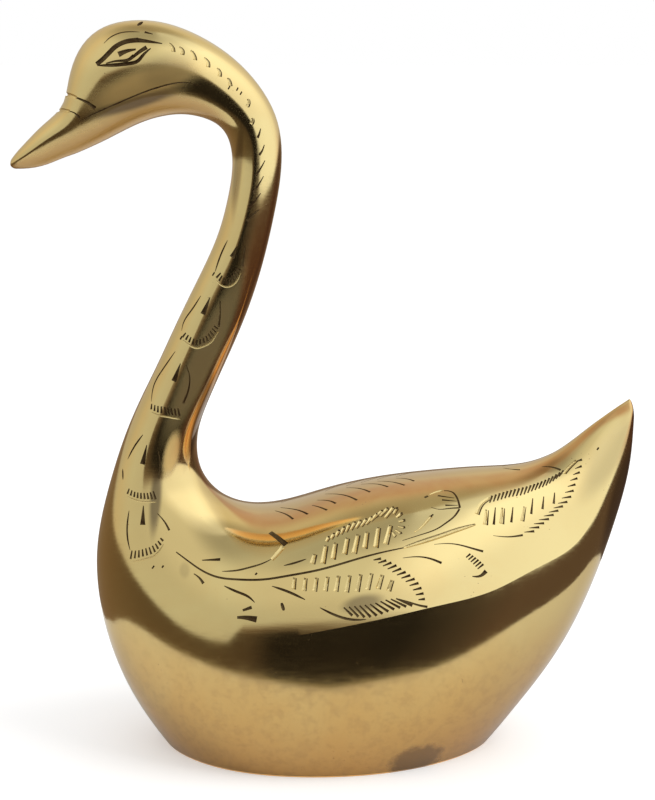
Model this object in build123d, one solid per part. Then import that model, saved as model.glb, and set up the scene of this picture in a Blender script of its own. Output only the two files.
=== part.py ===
"""Cast brass swan-necked duck: a hollow body in two half shells and a solid neck-and-head casting, brazed together.

The bird faces -X, its tail points to +X, +Z is up and the XZ plane is its mirror plane. The origin is on the
surface it stands on, at the middle of its length. All sizes are millimetres.
"""

import os
from dataclasses import dataclass

from build123d import *

# Driving sizes of the outer form
HALF_LENGTH = 63.5
HEIGHT = 150.0
BODY_HALF_WIDTH = 26.5
NECK_HALF_WIDTH = 5.2
HEAD_HALF_WIDTH = 7.4
BILL_HALF_WIDTH = 4.4

# Driving sizes of the castings and their joints
WALL = 3.0
SOCKET_DEPTH = 16.5
SPIGOT_DIAMETER = 8.0
SPIGOT_CLEARANCE = 0.1
SPIGOT_CHAMFER = 0.8
COLLAR_WIDTH = 2.2
COLLAR_HEIGHT = 2.2
COLLAR_EDGE = 0.4
SEAM_BEAD_WIDTH = 4.0
SEAM_BEAD_HEIGHT = 0.8
SEAM_BEAD_BASE_GAP = 4.0

# The spigot passes the collar of brazing metal by its chamfer
SPIGOT_LENGTH = SOCKET_DEPTH + COLLAR_HEIGHT + SPIGOT_CHAMFER
# Bezier handle length that draws a quarter ellipse
ROUND = 0.5523
# Cutting tools reach well past the form
REACH = 2 * HEIGHT
JOINT_BLOCK_SHARE = 0.95


@dataclass
class Section:
    """One cross-section, on a plane square to the mirror plane that runs from its bottom point to its top point.

    top and bottom are (x, z) in millimetres. belt is where the widest place lies, from 0 at the bottom to 1 at
    the top. crown and flank are the handle lengths of the upper curve at the top and at the belt, bilge and keel
    those of the lower curve. crease pulls the upper handle at the belt inwards, as a share of the half width,
    and makes an edge there.
    """

    top: tuple
    bottom: tuple
    half_width: float
    belt: float = 0.5
    crown: float = ROUND
    flank: float = ROUND
    bilge: float = ROUND
    keel: float = ROUND
    crease: float = 0.0

    def point(self, along, out):
        """The point at a share of the way up the section and a distance out from the mirror plane."""
        (x0, z0), (x1, z1) = self.bottom, self.top
        return Vector(x0 + (x1 - x0) * along, -out, z0 + (z1 - z0) * along)

    def inset(self, wall):
        """The same section moved inwards by a wall thickness."""
        up = Vector(self.top[0] - self.bottom[0], 0, self.top[1] - self.bottom[1]).normalized() * wall
        return Section(
            (self.top[0] - up.X, self.top[1] - up.Z),
            (self.bottom[0] + up.X, self.bottom[1] + up.Z),
            self.half_width - wall,
            self.belt,
            self.crown,
            self.flank,
            self.bilge,
            self.keel,
        )

    def curves(self):
        """The upper and the lower curve of the left side, from top to belt to bottom."""
        out, belt = self.half_width, self.belt
        upper = Bezier(
            self.point(1, 0),
            self.point(1, out * self.crown),
            self.point(belt + (1 - belt) * self.flank, out * (1 - self.crease)),
            self.point(belt, out),
        )
        lower = Bezier(
            self.point(belt, out),
            self.point(belt - belt * self.bilge, out),
            self.point(0, out * self.keel),
            self.point(0, 0),
        )
        return upper, lower

    def half(self, past_middle=0.0):
        """The left half as a face, which may reach a little past the mirror plane."""
        upper, lower = self.curves()
        top, bottom = self.point(1, 0), self.point(0, 0)
        over = Vector(0, past_middle, 0)
        if past_middle:
            close = [Line(bottom, bottom + over), Line(bottom + over, top + over), Line(top + over, top)]
        else:
            close = [Line(bottom, top)]
        return Face(Wire([upper, lower, *close]))

    def whole(self):
        """Both halves as one face."""
        upper, lower = self.curves()
        return Face(Wire([upper, lower, lower.mirror(Plane.XZ), upper.mirror(Plane.XZ)]))


def place(x_percent, z_percent):
    """A point of the side outline, drawn in percent of half the length and of the height."""
    return HALF_LENGTH * x_percent / 100, HEIGHT * z_percent / 100


def sections_of(half_width, rows):
    """Sections from rows of a top point, a bottom point, a share of the half width and the shape."""
    return [
        Section(place(*top), place(*bottom), half_width * share, **shape)
        for top, bottom, share, shape in rows
    ]


# Sections of the body, from the tail to the breast, where they fan round into the neck
TAIL = sections_of(BODY_HALF_WIDTH, [
    ((98.7, 49.2), (100.0, 47.3), 0.03, dict(belt=0.5, crease=0.2)),
    ((94.2, 47.9), (99.2, 40.7), 0.09, dict(belt=0.5, crease=0.25)),
    ((86.0, 45.3), (95.1, 32.7), 0.21, dict(belt=0.5, crown=0.6, crease=0.2)),
    ((76.2, 42.0), (88.5, 24.3), 0.37, dict(belt=0.5, crown=0.65, crease=0.15)),
    ((64.6, 39.9), (77.8, 14.3), 0.575, dict(belt=0.5, crown=0.7, keel=0.5, crease=0.08)),
])
BACK = sections_of(BODY_HALF_WIDTH, [
    ((51.2, 39.3), (61.1, 3.9), 0.77, dict(belt=0.51, crown=0.72, keel=0.34, crease=0.03)),
    ((36.2, 38.7), (40.9, -6.0), 0.915, dict(belt=0.52, crown=0.74, keel=0.2)),
    ((18.1, 37.7), (15.7, -11.3), 0.99, dict(belt=0.52, crown=0.74, keel=0.36)),
    ((0.8, 36.0), (-12.6, -11.7), 1.0, dict(belt=0.52, crown=0.74, keel=0.44)),
    ((-13.4, 34.2), (-37.8, -6.7), 0.955, dict(belt=0.52, crown=0.74, keel=0.42)),
])
BREAST = sections_of(BODY_HALF_WIDTH, [
    ((-24.4, 33.9), (-54.2, 0.5), 0.835, dict(belt=0.51, crown=0.7, keel=0.42)),
    ((-32.8, 35.1), (-65.7, 8.3), 0.675, dict(belt=0.5, crown=0.66, keel=0.5)),
    ((-38.7, 37.5), (-73.4, 17.7), 0.51, dict(belt=0.48, crown=0.6)),
    ((-41.4, 40.1), (-75.3, 27.6), 0.37, dict(belt=0.48)),
    ((-42.0, 42.7), (-71.0, 36.7), 0.29, dict(belt=0.5)),
])

# The seat of the neck on the body, then sections of the neck, up to the arch, and of the head and bill
JOINT, *NECK = sections_of(NECK_HALF_WIDTH, [
    ((-40.9, 45.7), (-63.5, 45.9), 1.28, dict()),
    ((-37.8, 49.2), (-55.7, 52.8), 1.14, dict()),
    ((-31.3, 55.3), (-47.7, 59.9), 1.04, dict()),
    ((-24.7, 61.9), (-40.3, 66.2), 0.98, dict()),
    ((-19.8, 68.4), (-34.6, 71.5), 0.95, dict()),
    ((-16.1, 75.1), (-31.2, 76.5), 0.94, dict()),
    ((-14.0, 81.6), (-29.6, 81.3), 0.95, dict()),
    ((-15.9, 87.6), (-31.0, 84.7), 1.0, dict()),
])
HEAD = sections_of(HEAD_HALF_WIDTH, [
    ((-23.9, 93.0), (-35.0, 86.6), 0.8, dict(belt=0.42)),
    ((-35.0, 96.9), (-40.8, 87.5), 0.91, dict(belt=0.36, crease=0.05)),
    ((-47.2, 99.3), (-47.2, 87.7), 0.98, dict(belt=0.32, crease=0.1)),
    ((-58.6, 100.0), (-54.8, 87.1), 1.0, dict(belt=0.3, crease=0.12)),
    ((-70.2, 98.9), (-62.4, 85.8), 0.95, dict(belt=0.29, crease=0.14)),
    ((-77.2, 96.0), (-69.0, 84.4), 0.84, dict(belt=0.3, crease=0.16)),
    ((-80.6, 92.1), (-74.6, 83.3), 0.72, dict(belt=0.34, crease=0.18)),
])
BILL = sections_of(BILL_HALF_WIDTH, [
    ((-83.0, 88.8), (-79.1, 82.5), 1.06, dict(belt=0.42, crease=0.2)),
    ((-88.8, 86.4), (-83.1, 81.9), 0.9, dict(belt=0.5, crease=0.2)),
    ((-94.2, 84.2), (-89.4, 80.9), 0.7, dict(belt=0.52, crease=0.2)),
    ((-98.0, 82.5), (-95.4, 80.5), 0.45, dict(belt=0.5, crease=0.12)),
    ((-100.0, 81.4), (-99.4, 80.5), 0.2, dict(belt=0.5)),
])

BODY_SECTIONS = TAIL + BACK + BREAST
CAVITY_SECTIONS = BODY_SECTIONS[2:]
ARM_SECTIONS = NECK + HEAD + BILL


def below_floor():
    """Everything under the surface the duck stands on."""
    return Pos(0, 0, -REACH / 2) * Box(2 * REACH, 2 * REACH, REACH)


def joint_frame():
    """The seat between neck and body, its Z axis along the neck, upwards."""
    foot, back = JOINT.point(0, 0), JOINT.point(1, 0)
    across = back - foot
    return Plane((foot + back) / 2, x_dir=across, z_dir=Vector(-across.Z, 0, across.X))


def joint_block(bottom):
    """A tall block round the neck, clear of the tail, whose underside lies at a height over the seat."""
    side = JOINT_BLOCK_SHARE * HALF_LENGTH
    return joint_frame() * Pos(0, 0, bottom + REACH / 2) * Box(side, side, REACH)


def above_joint(depth=0.0):
    """Everything round the neck above a plane that lies a depth below the seat."""
    return joint_block(-depth)


def below_joint():
    """Everything round the neck below the seat."""
    return joint_block(-REACH)


def tenon(clearance, length):
    """The neck's round spigot, or with a clearance the bore that takes it."""
    return joint_frame() * Pos(0, 0, -length / 2) * Cylinder(SPIGOT_DIAMETER / 2 + clearance, length)


def cavity(sections, wall, depth):
    """Left half of the hollow inside the body, a little past the middle, and flat above under the neck's boss."""
    return loft([s.inset(wall).half(WALL) for s in sections]) - above_joint(depth)


def left_shell(hollow):
    """Left half of the body: a cast wall, open below, with half of the boss for the neck."""
    outer = loft([s.half() for s in BODY_SECTIONS + [JOINT, NECK[0]]])
    outer = outer - above_joint() - below_floor()
    return outer - hollow - tenon(SPIGOT_CLEARANCE, SPIGOT_LENGTH)


def neck_and_head():
    """The solid neck, head and bill, with the spigot that sits in the body's boss."""
    arm = loft([s.whole() for s in [BREAST[-1], JOINT] + ARM_SECTIONS]) - below_joint()
    spigot = tenon(0.0, SPIGOT_LENGTH)
    end = spigot.faces().sort_by(Axis((0, 0, 0), joint_frame().z_dir))[0]
    return arm + chamfer(end.edges(), SPIGOT_CHAMFER)


def under_boss(solid, height):
    """Sets a solid of revolution against the flat underside of the boss, on the spigot's axis."""
    return joint_frame() * Pos(0, 0, -SOCKET_DEPTH - height / 2) * solid


def neck_braze():
    """Fillet of brazing metal that locks the spigot under the boss, narrower at its lower end."""
    radius = SPIGOT_DIAMETER / 2
    fillet_ring = Cone(radius + COLLAR_EDGE, radius + COLLAR_WIDTH, COLLAR_HEIGHT)
    return under_boss(fillet_ring, COLLAR_HEIGHT) - tenon(0.0, SPIGOT_LENGTH)


def seam_brazes(hollow):
    """Beads of brazing metal along the inside of the seam: one down the breast, one along back, tail and stern."""
    bare = cavity(CAVITY_SECTIONS[1:-1], WALL + SEAM_BEAD_HEIGHT, SOCKET_DEPTH + SEAM_BEAD_HEIGHT)
    half_width = SEAM_BEAD_WIDTH / 2
    strip = Pos(0, -half_width / 2, REACH / 2 + SEAM_BEAD_BASE_GAP) * Box(2 * REACH, half_width, REACH)
    half = (hollow - bare) & strip
    collar_room = Cylinder(SPIGOT_DIAMETER / 2 + COLLAR_WIDTH, COLLAR_HEIGHT)
    runs = (half - under_boss(collar_room, COLLAR_HEIGHT)).solids().sort_by(Axis.X)
    return [run + mirror(run, Plane.XZ) for run in (runs[0], runs[-1])]


def main():
    os.makedirs("parts", exist_ok=True)
    hollow = cavity(CAVITY_SECTIONS, WALL, SOCKET_DEPTH)
    left = left_shell(hollow)
    breast_bead, back_bead = seam_brazes(hollow)
    pieces = {
        "body_left_shell": left,
        "body_right_shell": mirror(left, Plane.XZ),
        "neck_and_head": neck_and_head(),
        "neck_braze": neck_braze(),
        "seam_braze_breast": breast_bead,
        "seam_braze_back": back_bead,
    }
    for name, piece in pieces.items():
        export_step(piece, f"parts/{name}.step")


main()
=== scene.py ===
"""Cast brass duck: two hollow body shells, a solid neck and head, brazes and hand-cut feather ornament."""

import math

import bmesh
import bpy
import numpy as np
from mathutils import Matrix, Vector
from mathutils.bvhtree import BVHTree
from mathutils.interpolate import poly_3d_calc


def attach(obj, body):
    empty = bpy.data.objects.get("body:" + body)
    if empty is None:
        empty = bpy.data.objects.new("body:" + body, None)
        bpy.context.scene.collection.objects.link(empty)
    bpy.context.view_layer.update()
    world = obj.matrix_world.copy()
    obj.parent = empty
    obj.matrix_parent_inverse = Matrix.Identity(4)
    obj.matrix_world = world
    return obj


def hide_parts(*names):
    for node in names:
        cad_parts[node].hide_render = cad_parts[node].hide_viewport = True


bl_info = {
    "name": "Cast brass duck",
    "version": (1, 0, 0),
    "blender": (4, 5, 0),
    "location": "View3D > Sidebar > Duck",
    "description": "Builds a polished cast brass duck with an engraved body and neck",
    "category": "Add Mesh",
}

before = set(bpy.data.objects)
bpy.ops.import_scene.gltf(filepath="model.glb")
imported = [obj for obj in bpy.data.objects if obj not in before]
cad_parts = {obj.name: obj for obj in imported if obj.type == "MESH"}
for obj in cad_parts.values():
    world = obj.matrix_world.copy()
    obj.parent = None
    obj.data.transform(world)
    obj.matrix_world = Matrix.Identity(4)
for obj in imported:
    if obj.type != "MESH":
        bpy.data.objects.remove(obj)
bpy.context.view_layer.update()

MM = 0.001
ROUND = 0.5523

# Rows of sections: top point and bottom point in percent of half the length and of the height, share of
# the half width, height of the widest place, fullness of crown, keel, and sides above and below that
# place, and height of a fold in the side with its lean, inwards above it or, below zero, inwards below it
TAIL = (
    (98.7, 49.2, 100.0, 47.3, 0.03, 0.48, ROUND, ROUND, ROUND, ROUND, 0.50, 0.40),
    (94.2, 47.9, 99.2, 40.7, 0.09, 0.46, ROUND, ROUND, ROUND, ROUND, 0.50, 0.44),
    (86.0, 45.3, 95.1, 32.7, 0.21, 0.42, 0.60, ROUND, ROUND, ROUND, 0.44, 0.34),
    (76.2, 42.0, 88.5, 24.3, 0.37, 0.42, 0.65, ROUND, ROUND, ROUND, 0.435, 0.27),
    (64.6, 39.9, 77.8, 14.3, 0.575, 0.50, 0.70, 0.50, ROUND, ROUND, 0.565, 0.19),
)
BACK = (
    (51.2, 39.3, 61.1, 3.9, 0.77, 0.52, 0.72, 0.34, ROUND, ROUND, 0.633, 0.13),
    (36.2, 38.7, 40.9, -6.0, 0.915, 0.53, 0.74, 0.20, ROUND, ROUND, 0.687, 0.085),
    (18.1, 37.7, 15.7, -11.3, 0.99, 0.53, 0.74, 0.36, ROUND, ROUND, 0.70, 0.05),
    (0.8, 36.0, -12.6, -11.7, 1.0, 0.52, 0.74, 0.44, ROUND, ROUND, 0.69, 0.02),
    (-13.4, 34.2, -37.8, -6.7, 0.955, 0.52, 0.74, 0.42, ROUND, ROUND, 0.66, 0.0),
)
BREAST = (
    (-24.4, 33.9, -54.2, 0.5, 0.835, 0.51, 0.70, 0.42, ROUND, ROUND, 0.63, 0.0),
    (-32.8, 35.1, -65.7, 8.3, 0.675, 0.50, 0.66, 0.50, ROUND, ROUND, 0.60, 0.0),
    (-38.7, 37.5, -73.4, 17.7, 0.51, 0.48, 0.60, ROUND, ROUND, ROUND, 0.57, 0.0),
    (-41.4, 40.1, -75.3, 27.6, 0.37, 0.48, ROUND, ROUND, ROUND, ROUND, 0.54, 0.0),
    (-42.0, 42.7, -71.0, 36.7, 0.29, 0.50, ROUND, ROUND, 0.60, ROUND, 0.52, 0.0),
)
NECK = (
    (-40.9, 45.7, -63.5, 45.9, 1.28, 0.50, 0.65, ROUND, 0.68, ROUND, 0.50, 0.0),
    (-37.8, 49.2, -55.7, 52.8, 1.14, 0.50, 0.72, ROUND, 0.76, ROUND, 0.50, 0.0),
    (-31.3, 55.3, -47.7, 59.9, 1.04, 0.50, 0.72, ROUND, 0.80, ROUND, 0.50, 0.0),
    (-24.7, 61.9, -40.3, 66.2, 0.98, 0.49, 0.70, ROUND, 0.74, ROUND, 0.50, 0.0),
    (-19.8, 68.4, -34.6, 71.5, 0.95, 0.46, 0.66, 0.68, 0.22, 0.20, 0.50, 0.0),
    (-16.1, 75.1, -31.2, 76.5, 0.94, 0.48, 0.68, 0.72, 0.13, 0.13, 0.50, 0.0),
    (-14.0, 81.6, -29.6, 81.3, 0.95, 0.48, 0.66, 0.72, 0.13, 0.13, 0.49, 0.0),
    (-15.9, 87.6, -31.0, 84.7, 1.0, 0.48, 0.60, 0.60, 0.42, 0.42, 0.47, 0.0),
)
HEAD = (
    (-23.9, 93.0, -35.0, 86.6, 0.80, 0.47, ROUND, ROUND, ROUND, 0.62, 0.45, 0.0),
    (-35.0, 96.9, -40.8, 87.5, 0.91, 0.53, ROUND, ROUND, ROUND, 0.76, 0.42, -0.08),
    (-47.2, 99.3, -47.2, 87.7, 0.98, 0.55, ROUND, ROUND, ROUND, 0.84, 0.356, -0.15),
    (-58.6, 100.0, -54.8, 87.1, 1.0, 0.55, ROUND, ROUND, ROUND, 0.86, 0.285, -0.17),
    (-70.2, 98.9, -62.4, 85.8, 0.95, 0.53, ROUND, ROUND, ROUND, 0.86, 0.27, -0.18),
    (-77.2, 96.0, -69.0, 84.4, 0.84, 0.50, ROUND, ROUND, ROUND, 0.78, 0.316, -0.20),
    (-80.6, 92.1, -74.6, 83.3, 0.72, 0.49, ROUND, ROUND, ROUND, 0.66, 0.394, -0.22),
)
BILL = (
    (-83.0, 88.8, -79.1, 82.5, 1.06, 0.56, ROUND, ROUND, ROUND, ROUND, 0.52, -0.26),
    (-88.8, 86.4, -83.1, 81.9, 0.90, 0.59, ROUND, ROUND, ROUND, ROUND, 0.55, -0.30),
    (-94.2, 84.2, -89.4, 80.9, 0.70, 0.60, ROUND, ROUND, ROUND, ROUND, 0.57, -0.30),
    (-98.0, 82.5, -95.4, 80.5, 0.45, 0.56, ROUND, ROUND, ROUND, ROUND, 0.53, -0.26),
    (-100.0, 81.4, -99.4, 80.5, 0.20, 0.50, ROUND, ROUND, ROUND, ROUND, 0.50, -0.10),
)
# The first section of the hollow, the points round a section, the spacing of rings along the form, the
# rings in a rounded tip, and the lean from which a fold is a sharp edge
HOLLOW_FROM = 2
RING_POINTS = 96
RING_STEP = 1.2 * MM
TIP_STEPS = 5
FOLD_SHOWS = 0.012

# Place along the length that all of the neck and head lies in front of, and the tail behind
NECK_SIDE = -3 * MM
# Chamfer round the lower end of the spigot and of its bore
ROD_CHAMFER = 0.8 * MM

# Distances within which points are one and a face lies on a plane, and cosine from which it lies square
MERGE_REACH = 1e-7
ON_PLANE = 1e-6
FLAT = 0.99

# Graver's cuts: radius as a share of the width, rise of the axis above the skin as a share of the radius,
# gap between cuts of one group as a share of their widths, and spacing of points in millimetres
CUT_RADIUS = 0.57
CUT_RISE = 0.45
CUT_GAP = 0.75
CUT_STEP = 0.6
# Width of the stained cut painted as shade beside a polished cut, as a share of its width
SHADE_EDGE_WIDTH = 0.42

# The uncut form's normal holds near its skin, where it faces like the piece, a little inside each face
SKIN_REACH = 0.3 * MM
LIKE_FACING = 0.5
INSIDE_FACE = 0.03

# Painted dark reflections and shade on the near side, in oxide colour: place and half sizes in millimetres
# of the side view, turn in degrees, strength
PAINTED_DARK_PATCHES = (
    (-30.8, 140.8, 5.6, 3.2, -25, 0.24),
    (-34.6, 54.6, 1.2, 7.0, 4, 0.72),
    (-28.4, 41.7, 1.1, 1.5, 0, 0.2),
    (7.2, 37.4, 4.2, 1.6, -12, 0.6),
    (-37.5, 134.1, 10.5, 1.25, -17, 0.72),
    (-25.6, 71.5, 1.0, 10.5, 16, 0.7),
    (57.7, 62.4, 3.2, 9.5, 35, 0.28),
    (60.4, 54.5, 2.0, 11.5, 16, 0.6),
    (-17.6, 120.8, 0.9, 9.0, 6, 0.5),
)
# Painted dark reflection down the near side of the neck, brown and partly unmetallic, in the same terms
PAINTED_NECK_REFLECTION = (
    (-24.7, 83.5, 2.4, 17.5, 25, 0.62),
)
# Patches where the polish stayed hazy, in the same terms
HAZE = (
    (-36.0, 136.9, 11.4, 3.9, -20, 0.85),
    (-31.4, 63.6, 1.5, 4.8, 12, 0.8),
)

# The studio as the metal reflects it, in metres and by bearing in degrees: 0 to the viewer, 90 to the tail,
# -90 to the bill
STUDIO_POINTS = 64
ABOVE_FLOOR = 0.3 * MM

# Reach of the sheet of paper, its colours, darker towards the tail as painted shade, and the share of its
# reach that is open under the duck
SHEET = (
    (-180, 0.235),
    (-165, 0.156),
    (-150, 0.121),
    (-122, 0.098),
    (-100, 0.105),
    (-75, 0.144),
    (-50, 0.180),
    (-24, 0.120),
    (0, 0.084),
    (32, 0.090),
    (54, 0.110),
    (66, 0.122),
    (78, 0.132),
    (96, 0.148),
    (108, 0.141),
    (130, 0.135),
    (155, 0.156),
    (170, 0.190),
    (180, 0.235),
)
PAPER_AND_SHADE = (
    (-180, (0.70, 0.68, 0.65)),
    (50, (0.70, 0.68, 0.65)),
    (95, (0.54, 0.50, 0.48)),
    (180, (0.70, 0.68, 0.65)),
)
SHEET_OPENING = 0.05

# Reach of the tent's foot, height of its wall and of its top, and degrees between the rings of its roof
TENT = (
    (-180, 0.45),
    (-60, 0.50),
    (-40, 0.60),
    (12, 0.60),
    (30, 0.42),
    (50, 0.30),
    (110, 0.30),
    (150, 0.38),
    (180, 0.45),
)
TENT_WALL = 0.15
TENT_TOP = 0.70
TENT_STEP = 6

# Colours of the soft panels and of the room under them, heights where the panels begin, the multiple of
# those heights where they are full, and the strength of their light
PANELS = (
    (-180, (0.42, 0.38, 0.31)),
    (-150, (0.36, 0.31, 0.24)),
    (-110, (0.38, 0.35, 0.30)),
    (-88, (0.44, 0.39, 0.32)),
    (-60, (0.43, 0.43, 0.40)),
    (-28, (0.40, 0.40, 0.38)),
    (-6, (0.42, 0.42, 0.40)),
    (14, (0.66, 0.67, 0.68)),
    (60, (0.74, 0.76, 0.78)),
    (85, (0.74, 0.76, 0.78)),
    (105, (0.70, 0.70, 0.68)),
    (125, (0.52, 0.50, 0.47)),
    (150, (0.43, 0.39, 0.31)),
    (180, (0.42, 0.38, 0.31)),
)
ROOM = (
    (-180, (0.20, 0.145, 0.095)),
    (-110, (0.14, 0.095, 0.06)),
    (-50, (0.072, 0.052, 0.033)),
    (-26, (0.052, 0.037, 0.026)),
    (-14, (0.012, 0.010, 0.009)),
    (14, (0.012, 0.010, 0.009)),
    (36, (0.045, 0.034, 0.028)),
    (54, (0.078, 0.052, 0.042)),
    (100, (0.078, 0.052, 0.042)),
    (120, (0.062, 0.042, 0.033)),
    (180, (0.20, 0.145, 0.095)),
)
ROOM_HIGH = (0.20, 0.14, 0.10)
SILLS = (
    (-180, 0.072),
    (-100, 0.057),
    (-80, 0.046),
    (-36, 0.049),
    (-31, 0.133),
    (10, 0.133),
    (22, 0.075),
    (34, 0.066),
    (44, 0.034),
    (60, 0.032),
    (80, 0.042),
    (105, 0.076),
    (125, 0.107),
    (150, 0.120),
    (180, 0.072),
)
SILL_BLEND = 1.4
TENT_LIGHT = 1.4

# The lamp and the camera, with the camera's tilt in degrees
LAMP_PLACE = Vector((0.55, -0.2, 0.62))
LAMP_AIM = Vector((0, 0, 0.06))
LAMP_POWER = 2.6
LAMP_SIZE = 0.5
CAMERA_PLACE = (0.0003, -0.380, 0.150)
CAMERA_TILT = 78.6
CAMERA_LENS = 84.8
FLOOR_SIZE = 12


def length_property(name, description, default):
    """A size in metres that the panel shows."""
    return bpy.props.FloatProperty(
        name=name, description=description, default=default, min=0.0, unit="LENGTH"
    )


def colour_property(name, description, default):
    """A colour that the panel shows as a swatch."""
    return bpy.props.FloatVectorProperty(
        name=name, description=description, default=default, size=3, min=0.0, max=1.0, subtype="COLOR"
    )


class DuckSizes(bpy.types.PropertyGroup):
    """Sizes of the casting and of the engraver's cuts."""

    half_length: length_property("Half length", "Half the length from bill tip to tail tip", 0.0635)
    height: length_property("Height", "Height from the base rim to the crown of the head", 0.150)
    body_half_width: length_property("Body half width", "Half the width of the body at its fullest", 0.0265)
    neck_half_width: length_property("Neck half width", "Half the width of the neck", 0.0052)
    head_half_width: length_property("Head half width", "Half the width of the head", 0.0074)
    bill_half_width: length_property("Bill half width", "Half the width of the bill at its root", 0.0044)
    wall: length_property("Wall", "Thickness of the cast body shells", 0.003)
    socket_depth: length_property("Socket depth", "Depth of the boss that takes the neck's spigot", 0.0165)
    spigot_diameter: length_property("Spigot diameter", "Diameter of the neck's spigot", 0.008)
    spigot_length: length_property("Spigot length", "Length of the neck's spigot below its seat", 0.0195)
    spigot_clearance: length_property("Spigot clearance", "Gap between the spigot and its bore", 0.0001)
    tip_round: length_property("Tip rounding", "Depth of the rounded tips of tail and bill", 0.0008)
    line_width: length_property("Line width", "Width of an engraved line", 0.0007)
    tick_width: length_property("Tick width", "Width of a feather tick", 0.00115)
    comb_width: length_property("Comb width", "Width of the short cuts that edge a leaf", 0.00072)


class DuckFinish(bpy.types.PropertyGroup):
    """Colours of the metal and of the stage."""

    brass: colour_property("Polished brass", "Clean polished brass", (0.88, 0.70, 0.30))
    # Tarnished gold also carries the painted warm bounce light towards the base
    gold: colour_property("Tarnished brass", "Deeper gold where the polish has dulled", (0.82, 0.52, 0.17))
    # The coppery foot colour is painted shade, darker and redder towards the base rim
    copper: colour_property("Coppery foot", "Redder brass near the base rim", (0.74, 0.40, 0.12))
    # The coppery ridge colour paints orange reflection on the ridge and neck, and tints the painted shade
    # under the jaw
    ridge: colour_property("Coppery ridge", "Redder film on the ridge of back and neck", (0.66, 0.33, 0.10))
    fresh: colour_property("Fresh cut", "Pale brass of the polished cuts", (0.95, 0.76, 0.35))
    brown: colour_property("Brown tarnish", "Brown film on skin, pits and hollows", (0.30, 0.17, 0.07))
    # Oxide colours the residue in cuts and also the painted dark reflection and shade patches
    oxide_and_painted_dark: colour_property("Oxide", "Dark residue in cuts and tarnish", (0.085, 0.048, 0.022))
    cast_skin: colour_property("Cast skin", "Rough cast surface inside the body", (0.36, 0.24, 0.10))
    braze: colour_property("Brazing metal", "Paler brazing metal inside the body", (0.78, 0.62, 0.30))
    floor: colour_property("Floor", "Pale floor", (0.90, 0.90, 0.90))


def settings():
    """The panel's sizes and finish."""
    return bpy.context.scene.duck_sizes, bpy.context.scene.duck_finish


def activate(piece):
    """Makes a piece the only selected object."""
    bpy.ops.object.select_all(action="DESELECT")
    piece.select_set(True)
    bpy.context.view_layer.objects.active = piece


def remove(piece):
    """Deletes a helper object."""
    activate(piece)
    bpy.ops.object.delete()


def copy_of(piece, name):
    """A copy of a piece, as the only selected object."""
    activate(piece)
    bpy.ops.object.duplicate(linked=False)
    made = bpy.context.object
    made.name = name
    return made


def select_faces(piece, wanted):
    """Opens a piece in edit mode with the wanted faces selected."""
    activate(piece)
    bpy.ops.object.mode_set(mode="EDIT")
    bpy.ops.mesh.select_mode(type="FACE")
    bpy.ops.mesh.select_all(action="DESELECT")
    mesh = bmesh.from_edit_mesh(piece.data)
    for face in mesh.faces:
        face.select = wanted(face)
    bmesh.update_edit_mesh(piece.data)


def run_along(points):
    """Distances along a row of points from the first."""
    return np.concatenate([[0.0], np.cumsum(np.linalg.norm(np.diff(points, axis=0), axis=1))])


def natural_spline(knots, values, places):
    """Values on a smooth curve through rows of numbers, with free ends."""
    step = np.diff(knots)
    slope = np.diff(values, axis=0) / step[:, None]
    matrix = np.eye(len(knots))
    right = np.zeros_like(values)
    for i in range(1, len(knots) - 1):
        matrix[i, i - 1:i + 2] = step[i - 1], 2 * (step[i - 1] + step[i]), step[i]
        right[i] = 6 * (slope[i] - slope[i - 1])
    bend = np.linalg.solve(matrix, right)
    i = np.clip(np.searchsorted(knots, places) - 1, 0, len(step) - 1)
    width = step[i][:, None]
    a = (knots[i + 1] - places)[:, None] / width
    b = 1 - a
    curve = (a ** 3 - a) * bend[i] + (b ** 3 - b) * bend[i + 1]
    return a * values[i] + b * values[i + 1] + curve * width ** 2 / 6


def section_rows():
    """All sections from the tail to the bill, in metres."""
    sizes, _ = settings()
    groups = (
        (TAIL + BACK + BREAST, sizes.body_half_width),
        (NECK, sizes.neck_half_width),
        (HEAD, sizes.head_half_width),
        (BILL, sizes.bill_half_width),
    )
    rows = []
    for group, half_width in groups:
        for row in group:
            x_scale, z_scale = sizes.half_length / 100, sizes.height / 100
            scales = (x_scale, z_scale, x_scale, z_scale, half_width) + (1,) * 7
            rows.append([value * scale for value, scale in zip(row, scales)])
    return np.array(rows)


def thinned(rows, wall):
    """Sections moved inwards by a wall."""
    inner = rows.copy()
    line = rows[:, 0:2] - rows[:, 2:4]
    line /= np.linalg.norm(line, axis=1)[:, None]
    inner[:, 0:2] -= line * wall
    inner[:, 2:4] += line * wall
    inner[:, 4] -= wall
    return inner


def bezier(points, share):
    """A place on a curve with four control points."""
    rest = 1 - share
    weights = rest ** 3, 3 * rest ** 2 * share, 3 * rest * share ** 2, share ** 3
    return sum(weight[:, None] * np.array(point) for weight, point in zip(weights, points))


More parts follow.
